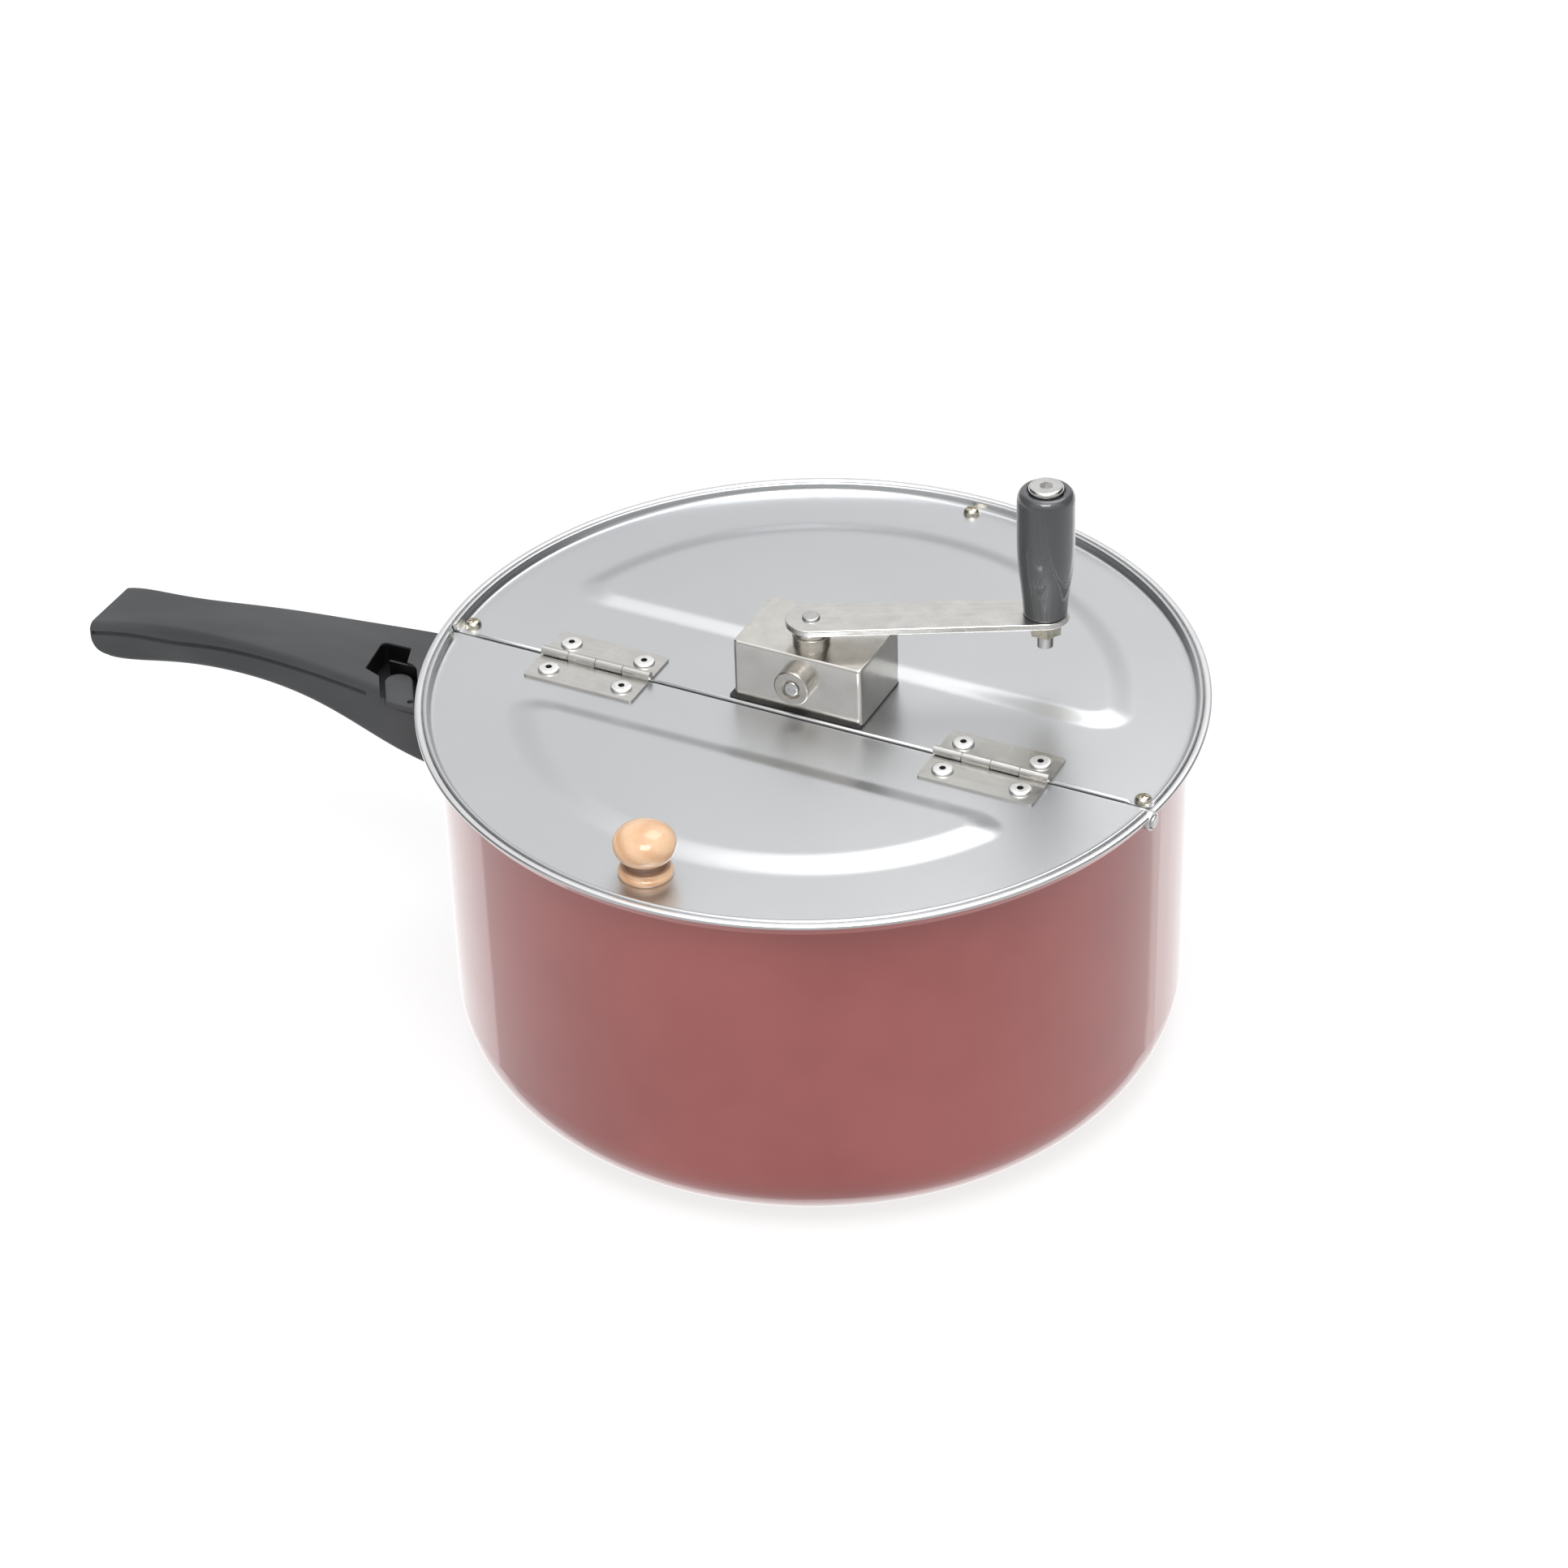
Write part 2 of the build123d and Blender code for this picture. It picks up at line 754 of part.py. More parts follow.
with BuildPart() as gearbox_housing:
    with BuildSketch(Plane.XY.offset(box_seat)):
        with Locations((0, box_centre_y)):
            RectangleRounded(box_length, box_depth, box_corner)
    extrude(amount=box_height - gasket)
    fillet(gearbox_housing.edges().group_by(Axis.Z)[-1], box_edge_round)
    with BuildSketch(Plane.XY.offset(box_seat)):
        with Locations((0, box_centre_y)):
            Rectangle(box_length - 2 * box_wall, box_depth - 2 * box_wall)
    extrude(amount=box_inside, mode=Mode.SUBTRACT)
    for x, y in post_places:
        disc(level_plane(x, y, box_seat), post_radius, box_inside)
        drill(level_plane(x, y, box_seat + box_screw_grip), box_screw_radius, box_screw_grip)
    drill(Plane.XY.offset(box_top), bush_neck_radius, box_wall)
    drill(front_plane, bush_neck_radius, box_wall)
finish(gearbox_housing, "gearbox_housing")

box_screw_shapes = [
    pan_screw(
        hanging_plane(x, y, lid_seat),
        box_screw_radius,
        lid_thickness + gasket + box_screw_grip,
        box_screw_head_radius,
        box_screw_head,
    )
    for x, y in post_places
]
with BuildPart() as gearbox_screws:
    add(box_screw_shapes)
finish(gearbox_screws, "gearbox_screws")

with BuildPart() as top_bush:
    head(Plane.XY.offset(box_top), top_bush_radius, top_bush_height, bush_edge_round)
    disc(Plane.XY.offset(box_top), bush_neck_radius, -box_wall)
    drill(
        Plane.XY.offset(box_top + top_bush_height),
        shaft_radius + running_clearance,
        top_bush_height + box_wall,
    )
finish(top_bush, "top_bush")

# ---------------------------------------------------------------- mitre gears

cone_outer = gear_radius * sqrt(2)
cone_inner = cone_outer - gear_face
inner_scale = cone_inner / cone_outer


def gear_point(cone_distance, rise):
    """Radius and distance from the apex of a point raised off the pitch cone."""
    return ((cone_distance + rise) / sqrt(2), (cone_distance - rise) / sqrt(2))


def tooth_section(plane, scale):
    """Straight-sided outline of one tooth on a plane square to the pitch cone."""
    slope = tan(radians(tooth_slope))
    foot = gear_dedendum + tooth_root_overlap
    half_foot = tooth_thickness / 2 + foot * slope
    half_tip = tooth_thickness / 2 - gear_addendum * slope
    corners = (
        (-half_foot, -foot),
        (half_foot, -foot),
        (half_tip, gear_addendum),
        (-half_tip, gear_addendum),
    )
    with BuildSketch(plane) as outline:
        with BuildLine():
            Polyline([(x * scale, y * scale) for x, y in corners], close=True)
        make_face()
    return outline.sketch


gear_inner = gear_point(cone_inner, -gear_dedendum * inner_scale)
gear_outer = gear_point(cone_outer, -gear_dedendum)
gear_front = gear_inner[1]


def mitre_gear(axis_direction, first_tooth, bore_radius):
    """Mitre gear about an axis that leaves the apex: its first tooth faces a direction."""
    seat = Plane(gear_apex, x_dir=first_tooth, z_dir=axis_direction)
    with BuildPart() as gear:
        with BuildSketch(Plane(seat.origin, x_dir=seat.x_dir, z_dir=-seat.y_dir)):
            with BuildLine():
                Polyline(
                    (bore_radius, gear_front),
                    gear_inner,
                    gear_outer,
                    (gear_outer[0], gear_outer[1] + gear_rim),
                    (gear_hub_radius, gear_outer[1] + gear_rim),
                    (gear_hub_radius, gear_hub_reach),
                    (bore_radius, gear_hub_reach),
                    close=True,
                )
            make_face()
        revolve(axis=Axis(seat.origin, seat.z_dir))
        for number in range(gear_teeth):
            turn = number * 360 / gear_teeth
            outwards = seat.x_dir.rotate(Axis((0, 0, 0), seat.z_dir), turn)
            along = (outwards + seat.z_dir).normalized()
            rise = (outwards - seat.z_dir).normalized()
            ends = [
                tooth_section(
                    Plane(gear_apex + along * distance, x_dir=rise.cross(along), z_dir=along),
                    distance / cone_outer,
                )
                for distance in (cone_outer, cone_inner)
            ]
            loft(ends, ruled=True)
    return gear.part


# The upright gears have a tooth towards the idler, and the idler a gap towards each of them.
half_pitch = pi / gear_teeth
crank_gear_shape = mitre_gear((0, 0, 1), (0, -1, 0), shaft_radius)
stirrer_gear_shape = mitre_gear((0, 0, -1), (0, -1, 0), shaft_radius)
idler_gear_shape = mitre_gear(
    (0, -1, 0), (sin(half_pitch), 0, cos(half_pitch)), axle_radius + running_clearance
)

with BuildPart() as crank_gear:
    add(crank_gear_shape)
finish(crank_gear, "crank_gear")

with BuildPart() as stirrer_gear:
    add(stirrer_gear_shape)
finish(stirrer_gear, "stirrer_gear")

with BuildPart() as idler_gear:
    add(idler_gear_shape)
finish(idler_gear, "idler_gear")

# ---------------------------------------------------------------- idler axle and bushes

bush_face = front_plane.offset(axle_bush_reach)
axle_head_seat = bush_face.offset(-axle_bush_recess)
bush_inside = -box_front_y - gear_hub_reach - end_play
axle_length = -axle_head_seat.origin.Y - gear_front + end_play + axle_collar

with BuildPart() as axle_bush:
    head(front_plane, axle_bush_radius, axle_bush_reach, bush_edge_round)
    disc(front_plane, bush_neck_radius, -bush_inside)
    drill(bush_face, axle_bush_recess_radius, axle_bush_recess)
    drill(bush_face, axle_radius, axle_bush_reach + bush_inside)
finish(axle_bush, "axle_bush")

with BuildPart() as idler_axle:
    disc(axle_head_seat, axle_radius, -axle_length)
    disc(axle_head_seat.offset(-axle_length), axle_collar_radius, axle_collar)
    drill(axle_head_seat, axle_screw_radius, axle_screw_grip)
finish(idler_axle, "idler_axle")

axle_screw_shape = pan_screw(
    axle_head_seat, axle_screw_radius, axle_screw_grip, axle_screw_head_radius, axle_screw_head
)
with BuildPart() as axle_screw:
    add(axle_screw_shape)
finish(axle_screw, "axle_screw")

stirrer_bush_top = gear_apex.Z - gear_hub_reach - end_play
stirrer_bush_end = lid_seat - bush_nut

with BuildPart() as stirrer_bush:
    disc(Plane.XY.offset(box_seat), bush_flange_radius, stirrer_bush_top - box_seat)
    disc(Plane.XY.offset(box_seat), bush_neck_radius, stirrer_bush_end - box_seat)
    drill(
        Plane.XY.offset(stirrer_bush_top),
        shaft_radius + running_clearance,
        stirrer_bush_top - stirrer_bush_end,
    )
finish(stirrer_bush, "stirrer_bush")

with BuildPart() as stirrer_bush_nut:
    with BuildSketch(Plane.XY.offset(lid_seat)):
        RegularPolygon(bush_nut_flats / 2, 6, major_radius=False)
        Circle(bush_neck_radius, mode=Mode.SUBTRACT)
    extrude(amount=-bush_nut)
finish(stirrer_bush_nut, "stirrer_bush_nut")

# ---------------------------------------------------------------- crank

crank_shaft_foot = gear_apex.Z + gear_front

with BuildPart() as crank_shaft:
    disc(Plane.XY.offset(crank_shaft_foot), shaft_radius, arm_seat - crank_shaft_foot)
    disc(Plane.XY.offset(arm_seat), tenon_radius, arm_thickness)
    head(Plane.XY.offset(arm_top), tenon_head_radius, tenon_head, tenon_head * 0.8)
finish(crank_shaft, "crank_shaft")

with BuildPart() as crank_spacer:
    disc(Plane.XY.offset(spacer_seat), spacer_foot_radius, spacer_foot)
    disc(Plane.XY.offset(spacer_seat + spacer_foot), spacer_neck_radius, spacer_neck)
    drill(Plane.XY.offset(arm_seat), shaft_radius, spacer_foot + spacer_neck)
finish(crank_spacer, "crank_spacer")

with BuildPart() as crank_arm:
    with BuildSketch(Plane.XY.offset(arm_seat)):
        Circle(arm_hub_radius)
        with Locations((grip_place.X, grip_place.Y)):
            Circle(arm_eye_radius)
        make_hull()
    extrude(amount=arm_thickness)
    fillet(crank_arm.edges().filter_by_position(Axis.Z, arm_seat, arm_seat), arm_edge_round)
    fillet(crank_arm.edges().filter_by_position(Axis.Z, arm_top, arm_top), arm_edge_round)
    drill(Plane.XY.offset(arm_top), tenon_radius, arm_thickness)
    drill(level_plane(grip_place.X, grip_place.Y, arm_top), bolt_thread_radius, arm_thickness)
finish(crank_arm, "crank_arm")

grip_section = Plane((grip_place.X, grip_place.Y, grip_foot), x_dir=(1, 0, 0), z_dir=(0, -1, 0))
grip_axis = Axis(grip_section.origin, (0, 0, 1))
bore_radius = bolt_radius + grip_clearance

with BuildPart() as crank_grip:
    with BuildSketch(grip_section) as grip_profile:
        with BuildLine():
            Spline(
                (grip_foot_radius, 0),
                (grip_waist_radius, grip_waist_height),
                (grip_radius, grip_length - grip_shoulder),
            )
            Polyline(
                (grip_radius, grip_length - grip_shoulder),
                (grip_radius, grip_length),
                (grip_recess_radius, grip_length),
                (grip_recess_radius, grip_length - grip_recess),
                (bore_radius, grip_length - grip_recess),
                (bore_radius, 0),
                (grip_foot_radius, 0),
            )
        make_face()
        shoulder = grip_profile.vertices().sort_by_distance((grip_radius, grip_length))[0]
        fillet(shoulder, min(grip_top_round, (grip_radius - grip_recess_radius) * 0.9))
    revolve(axis=grip_axis)
finish(crank_grip, "crank_grip")

with BuildPart() as grip_bolt:
    bolt_top = level_plane(grip_place.X, grip_place.Y, bolt_head_seat)
    bolt_shoulder = level_plane(grip_place.X, grip_place.Y, arm_top)
    head(bolt_top, bolt_head_radius, bolt_head, bolt_head_round)
    disc(bolt_shoulder, bolt_radius, bolt_head_seat - arm_top)
    disc(bolt_shoulder, bolt_thread_radius, -arm_thickness - grip_nut_flange - grip_nut - bolt_end)
    with BuildSketch(bolt_top.offset(bolt_head)):
        RegularPolygon(bolt_socket_flats / 2, 6, major_radius=False)
    extrude(amount=-bolt_socket, mode=Mode.SUBTRACT)
finish(grip_bolt, "grip_bolt")

with BuildPart() as grip_flange_nut:
    nut_seat = hanging_plane(grip_place.X, grip_place.Y, arm_seat)
    disc(nut_seat, grip_nut_flange_radius, grip_nut_flange)
    with BuildSketch(nut_seat.offset(grip_nut_flange)):
        RegularPolygon(grip_nut_flats / 2, 6, major_radius=False)
    extrude(amount=grip_nut)
    drill(
        nut_seat.offset(grip_nut_flange + grip_nut),
        bolt_thread_radius,
        grip_nut_flange + grip_nut,
    )
finish(grip_flange_nut, "grip_nut")

# ---------------------------------------------------------------- stirrer

stirrer_shaft_top = gear_apex.Z - gear_front
stirrer_shaft_foot = stirrer_foot + shaft_end_gap
clip_plane = hanging_plane(0, 0, stirrer_bush_end - end_play)
hub_top = stirrer_foot + hub_height

with BuildPart() as stirrer_shaft:
    disc(Plane.XY.offset(stirrer_shaft_foot), shaft_radius, stirrer_shaft_top - stirrer_shaft_foot)
    with BuildSketch(clip_plane):
        Circle(shaft_radius)
        Circle(clip_groove_radius, mode=Mode.SUBTRACT)
    extrude(amount=clip_thickness, mode=Mode.SUBTRACT)
finish(stirrer_shaft, "stirrer_shaft")

with BuildPart() as shaft_clip:
    with BuildSketch(clip_plane):
        Circle(clip_radius)
        Circle(clip_groove_radius, mode=Mode.SUBTRACT)
        with Locations((0, clip_radius)):
            Rectangle(2 * clip_groove_radius, 2 * clip_radius, mode=Mode.SUBTRACT)
    extrude(amount=clip_thickness)
finish(shaft_clip, "shaft_clip")

wire_section = Plane((shaft_radius + wire_gap, 0, wire_height), x_dir=(0, 1, 0), z_dir=(1, 0, 0))
set_screw_plane = Plane((0, 0, set_screw_height), x_dir=(1, 0, 0), z_dir=(0, 1, 0))
set_screw_start = shaft_radius + set_screw_gap
set_screw_length = hub_radius + set_screw_proud - set_screw_start

with BuildPart() as stirrer_hub:
    disc(Plane.XY.offset(stirrer_foot), hub_radius, hub_height)
    drill(Plane.XY.offset(hub_top), shaft_radius, hub_height)
    disc(wire_section.offset(-2 * hub_radius), wire_radius, 4 * hub_radius, Mode.SUBTRACT)
    disc(set_screw_plane, set_screw_radius, 2 * hub_radius, Mode.SUBTRACT)
finish(stirrer_hub, "stirrer_hub")

with BuildPart() as stirrer_set_screw:
    disc(set_screw_plane.offset(set_screw_start), set_screw_radius, set_screw_length)
    with BuildSketch(set_screw_plane.offset(set_screw_start + set_screw_length)):
        Rectangle(3 * set_screw_radius, set_screw_slot)
    extrude(amount=-set_screw_proud, mode=Mode.SUBTRACT)
finish(stirrer_set_screw, "stirrer_set_screw")

with BuildPart() as stirrer_wires:
    with BuildLine():
        bend = (wire_straight, 0, wire_height)
        wire_end = (wall_foot_radius - wire_end_margin, wire_end_y, wire_height)
        Line((shaft_radius + wire_gap, 0, wire_height), bend)
        TangentArc(bend, wire_end, tangent=(1, 0, 0))
    with BuildSketch(wire_section):
        Circle(wire_radius)
    sweep()
    add(stirrer_wires.part.rotate(Axis.Z, 180))
finish(stirrer_wires, "stirrer_wires")

# ---------------------------------------------------------------- handle and its bracket

tongue_start = wall_top_radius + bracket_plate / 2
tongue_end = wall_top_radius + tongue_reach
latch_floor = latch_top - latch_thickness
latch_peg = beside_wall(*latch_start)
handle_screw_place = beside_wall(handle_screw_out, 0)


def bracket_pad(margin, sink, mode=Mode.ADD):
    """The bracket's curved plate, grown by a margin and sunk into the pot's wall."""
    low = bracket_foot_height - margin
    high = bracket_head_height + margin
    arc = bracket_arc + 2 * degrees(margin / wall_top_radius)
    outside = bracket_plate + margin
    with BuildSketch(section_plane(180 - arc / 2)) as profile:
        with BuildLine():
            Polyline(
                (wall_radius(low) - sink, low),
                (wall_radius(low) + outside, low),
                (wall_radius(high) + outside, high),
                (wall_radius(high) - sink, high),
                close=True,
            )
        make_face()
    revolve(profile.sketch, axis=Axis.Z, revolution_arc=arc, mode=mode)


def tongue(margin, mode=Mode.ADD):
    """The bar of the bracket that the handle is pushed onto, grown by a margin."""
    with Locations((-(tongue_start + tongue_end + margin) / 2, 0, tongue_height)):
        Box(
            tongue_end + margin - tongue_start,
            tongue_width + 2 * margin,
            tongue_thickness + 2 * margin,
            mode=mode,
        )


def latch_slot(radius, height, thickness, mode=Mode.ADD):
    """Round-ended plate along the latch's line, thickness deep below a height."""
    end = beside_wall(*latch_end)
    middle = ((latch_peg[0] + end[0]) / 2, (latch_peg[1] + end[1]) / 2)
    with BuildSketch(Plane.XY.offset(height)) as outline:
        SlotCenterPoint(middle, end, 2 * radius)
    extrude(outline.sketch, amount=-thickness, mode=mode)


with BuildPart() as handle_bracket:
    bracket_pad(0, 0)
    tongue(0)
    for plane in bracket_rivet_planes:
        drill(plane.offset(2 * bracket_plate), bracket_rivet_radius, 3 * bracket_plate)
    tongue_top = tongue_height + tongue_thickness / 2
    drill(level_plane(*handle_screw_place, tongue_top), handle_screw_radius, tongue_thickness)
    drill(level_plane(*latch_peg, tongue_top), latch_peg_radius, tongue_thickness)
finish(handle_bracket, "handle_bracket")

with BuildPart() as bracket_rivets:
    for plane in bracket_rivet_planes:
        tail = plane.offset(bracket_plate)
        head(tail, bracket_rivet_head_radius, bracket_rivet_head, bracket_rivet_head / 2)
        disc(tail, bracket_rivet_radius, -bracket_plate - wall)
        disc(plane.offset(-wall), bracket_rivet_head_radius, -bracket_rivet_head)
    add(pot_shell.part, mode=Mode.SUBTRACT)
    add(handle_bracket.part, mode=Mode.SUBTRACT)
finish(bracket_rivets, "bracket_rivets")

with BuildPart() as handle_latch:
    latch_slot(latch_radius, latch_top, latch_thickness)
    split(bisect_by=Plane((0, latch_side_y, 0), x_dir=(1, 0, 0), z_dir=(0, 1, 0)))
    fillet(handle_latch.edges().group_by(Axis.Z)[-1], latch_thickness * 0.25)
    drill(level_plane(*beside_wall(*latch_eye), latch_top), latch_eye_radius, latch_thickness / 2)
    disc(level_plane(*latch_peg, latch_floor), latch_peg_radius, tongue_height - latch_floor)
finish(handle_latch, "handle_latch")

with BuildPart() as handle:
    for out, top, underside, half_width in handle_stations:
        with BuildSketch(cross_plane(*beside_wall(out, 0), (top + underside) / 2)):
            RectangleRounded(2 * half_width, top - underside, handle_edge_round)
    loft()
    tip_out, tip_top, tip_underside, tip_half_width = handle_stations[-1]
    tip_x = -wall_top_radius - tip_out
    with BuildSketch(Plane.XZ.offset(-2 * tip_half_width)):
        with Locations((tip_x, tip_underside)):
            Rectangle(2 * handle_tip_round, 2 * handle_tip_round)
        with Locations((tip_x + handle_tip_round, tip_underside + handle_tip_round)):
            Circle(handle_tip_round, mode=Mode.SUBTRACT)
    extrude(amount=4 * tip_half_width, mode=Mode.SUBTRACT)
    root_out, root_top, root_underside, root_half_width = handle_stations[0]
    with BuildSketch(Plane.XZ):
        with BuildLine():
            Polyline(
                (0, 0),
                (wall_foot_radius + handle_root_gap, 0),
                (wall_top_radius + handle_root_gap, wall_height),
                (0, wall_height),
                close=True,
            )
        make_face()
    revolve(axis=Axis.Z, mode=Mode.SUBTRACT)
    with BuildSketch(Plane.XY.offset(window_floor)) as window:
        with BuildLine():
            Polyline([beside_wall(*corner) for corner in window_corners], close=True)
        make_face()
        fillet(window.vertices().group_by(Axis.X)[0], window_corner_radius)
    extrude(amount=root_top, mode=Mode.SUBTRACT)
    latch_slot(latch_radius + latch_slit, 2 * latch_top, 2 * latch_top - latch_floor, Mode.SUBTRACT)
    rib_top = root_top - rib_drop
    with Locations((*beside_wall(*rib_place), (latch_floor + rib_top) / 2)):
        Box(rib_length, rib_thickness, rib_top - latch_floor)
    bracket_pad(fit_gap, handle_root_gap + fit_gap, Mode.SUBTRACT)
    tongue(fit_gap, Mode.SUBTRACT)
    for plane in bracket_rivet_planes:
        rivet_room = bracket_plate + bracket_rivet_head + fit_gap
        disc(plane, bracket_rivet_head_radius + fit_gap, rivet_room, Mode.SUBTRACT)
    drill(level_plane(*latch_peg, latch_floor), latch_peg_radius, latch_floor - tongue_height)
    seat = hanging_plane(*handle_screw_place, handle_screw_seat)
    disc(seat, handle_screw_head_radius + counterbore_clearance, root_top, Mode.SUBTRACT)
    drill(seat, handle_screw_radius, tongue_height - handle_screw_seat)
finish(handle, "handle")

handle_screw_shape = pan_screw(
    hanging_plane(*handle_screw_place, handle_screw_seat),
    handle_screw_radius,
    tongue_height + tongue_thickness / 2 - handle_screw_seat,
    handle_screw_head_radius,
    handle_screw_head,
)
with BuildPart() as handle_screw:
    add(handle_screw_shape)
finish(handle_screw, "handle_screw")
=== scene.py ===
from math import cos, pi, radians, sin

import bmesh
import bpy
import numpy as np
from mathutils import Matrix, Vector
from mathutils.bvhtree import BVHTree


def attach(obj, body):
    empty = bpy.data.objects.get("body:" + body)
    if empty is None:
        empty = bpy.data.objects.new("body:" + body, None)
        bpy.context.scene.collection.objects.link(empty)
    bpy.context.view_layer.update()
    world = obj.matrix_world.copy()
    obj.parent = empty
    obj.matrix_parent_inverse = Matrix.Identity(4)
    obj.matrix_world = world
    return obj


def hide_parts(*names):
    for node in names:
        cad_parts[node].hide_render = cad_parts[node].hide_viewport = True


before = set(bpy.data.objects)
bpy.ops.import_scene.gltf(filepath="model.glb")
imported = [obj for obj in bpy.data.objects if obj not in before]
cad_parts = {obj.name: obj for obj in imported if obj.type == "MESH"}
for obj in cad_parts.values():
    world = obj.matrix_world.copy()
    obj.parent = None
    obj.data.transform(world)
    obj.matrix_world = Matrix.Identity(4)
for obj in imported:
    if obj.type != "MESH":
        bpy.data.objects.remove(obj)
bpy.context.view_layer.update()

# ---- Pot shell ---------------------------------------------------------------
# One deep-drawn steel pot with a large round foot corner. Outside it has a glossy
# rose-red enamel, inside a grey one with dark specks, both fused on in the furnace.


class Wire:
    """A socket of a node tree. Sums written with it become Math nodes."""

    def __init__(self, tree, socket=None):
        self.tree, self.socket = tree, socket

    def node(self, kind, settings, inputs, output=0):
        """Adds a node of any kind: its settings, then what its sockets are given."""
        made = self.tree.nodes.new(kind)
        for name, value in settings.items():
            setattr(made, name, value)
        for name, value in inputs.items():
            if isinstance(value, Wire):
                self.tree.links.new(value.socket, made.inputs[name])
            elif value is not None:
                made.inputs[name].default_value = value
        return Wire(self.tree, made.outputs[output])

    def sum(self, operation, *values):
        return self.node("ShaderNodeMath", {"operation": operation}, dict(enumerate(values)))

    def __add__(self, other):
        return self.sum("ADD", self, other)

    def __sub__(self, other):
        return self.sum("SUBTRACT", self, other)

    def __rsub__(self, other):
        return self.sum("SUBTRACT", other, self)

    def __mul__(self, other):
        return self.sum("MULTIPLY", self, other)

    def __truediv__(self, other):
        return self.sum("DIVIDE", self, other)

    def __rtruediv__(self, other):
        return self.sum("DIVIDE", other, self)

    def __pow__(self, other):
        return self.sum("POWER", self, other)

    __radd__, __rmul__ = __add__, __mul__

    def ramp(self, low, high, start=0.0, end=1.0):
        """Smooth step of the value from low to high, given out as start to end."""
        return self.node(
            "ShaderNodeMapRange",
            {"interpolation_type": "SMOOTHSTEP"},
            {0: self, 1: low, 2: high, 3: start, 4: end},
        )

    def blend(self, one, other):
        """Mixes two colours, with the value as the share of the second."""
        return self.node("ShaderNodeMix", {"data_type": "RGBA"}, {0: self, 6: one, 7: other}, 2)

    def parts(self):
        """The X, Y and Z of a vector."""
        split = self.node("ShaderNodeSeparateXYZ", {}, {0: self}).socket.node
        return [Wire(self.tree, output) for output in split.outputs]

    def scaled(self, x, y, z):
        return self.node("ShaderNodeVectorMath", {"operation": "MULTIPLY"}, {0: self, 1: (x, y, z)})

    def noise(self, scale, detail=2.0, roughness=0.5):
        return self.node(
            "ShaderNodeTexNoise",
            {},
            {"Vector": self, "Scale": scale, "Detail": detail, "Roughness": roughness},
        )


def tint(red, green, blue):
    return (red, green, blue, 1.0)


class Finish:
    """A material on the main shader, with the places on the object to paint by."""

    def __init__(self, name, **constants):
        self.material = bpy.data.materials.new(name)
        self.material.use_nodes = True
        self.tree = self.material.node_tree
        self.shader = self.tree.nodes["Principled BSDF"]
        self.place = Wire(self.tree).node("ShaderNodeTexCoord", {}, {}, "Object")
        for socket, value in constants.items():
            self.shader.inputs[socket.replace("_", " ")].default_value = value

    def give(self, socket, value):
        self.tree.links.new(value.socket, self.shader.inputs[socket])

    def bump(self, height, depth, strength=1.0):
        """Raises the surface by a height from 0 to 1, in metres at 1."""
        self.give(
            "Normal",
            height.node("ShaderNodeBump", {}, {"Strength": strength, "Distance": depth, "Height": height}),
        )


def paint(finish, *nodes):
    """Gives CAD nodes a finish."""
    for name in nodes:
        for material_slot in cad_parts[name].material_slots:
            material_slot.material = finish.material


enamel = Finish(
    "enamel",
    Metallic=0.0,
    Coat_Weight=1.0,
    Coat_Roughness=0.035,
    Coat_IOR=1.75,
    Specular_IOR_Level=0.5,
)
x, y, z = enamel.place.parts()
from_axis = (x * x + y * y) ** 0.5

# the pot's outside lies one corner radius away from a core, which is its side and its floor
# moved in by that radius; the inside lies nearer to the core by the steel's thickness
base_corner, wall_taper, foot_radius = 0.0248, 0.0064, 0.1222
past_side = from_axis - (z * wall_taper + (foot_radius - base_corner))
past_floor = base_corner - z
side_squared = past_side * past_side * past_side.ramp(0.0, 1e-6)
floor_squared = past_floor * past_floor * past_floor.ramp(0.0, 1e-6)
from_core = (side_squared + floor_squared) ** 0.5
inside = from_core.ramp(base_corner - 0.0006, base_corner - 0.0009)

firing = enamel.place.noise(14.0, 3.0, 0.6).ramp(0.3, 0.7)
deep_red, rose_red = tint(0.335, 0.066, 0.062), tint(0.400, 0.088, 0.080)
speckle = enamel.place.noise(900.0, 1.0).ramp(0.60, 0.66)
speckled_grey = speckle.blend(tint(0.50, 0.50, 0.48), tint(0.10, 0.10, 0.10))
enamel.give("Base Color", inside.blend(firing.blend(deep_red, rose_red), speckled_grey))
enamel.give("Roughness", firing * 0.08 + 0.28)
enamel.bump(enamel.place.noise(24.0, 0.0), 0.00006, 0.3)
paint(enamel, "pot_shell")

# ---- Collar and rolled rim -----------------------------------------------------
# A flat aluminium ring lies on the wall and carries the lid. Its upstand is closed
# over by a rolled bead of the same bright sheet, joined at one round riveted lug.

lid_top = 0.1282


def add_piece(name, mesh, finish, body, slot_name, *nodes):
    """Puts a mesh in the scene as a piece that rides on a body and stands for CAD nodes."""
    piece = bpy.data.objects.new(name, mesh)
    bpy.context.scene.collection.objects.link(piece)
    mesh.materials.clear()
    mesh.materials.append(finish.material)
    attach(piece, body)
    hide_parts(*nodes)
    return piece


def mesh_of(name, shape, sharp_angle=40.0):
    """A mesh from a bmesh, merged, with its normals outward and smooth but for sharp edges."""
    bmesh.ops.remove_doubles(shape, verts=shape.verts, dist=1e-6)
    bmesh.ops.recalc_face_normals(shape, faces=shape.faces)
    mesh = bpy.data.meshes.new(name)
    shape.to_mesh(mesh)
    shape.free()
    mesh.shade_smooth()
    mesh.set_sharp_from_angle(angle=radians(sharp_angle))
    return mesh


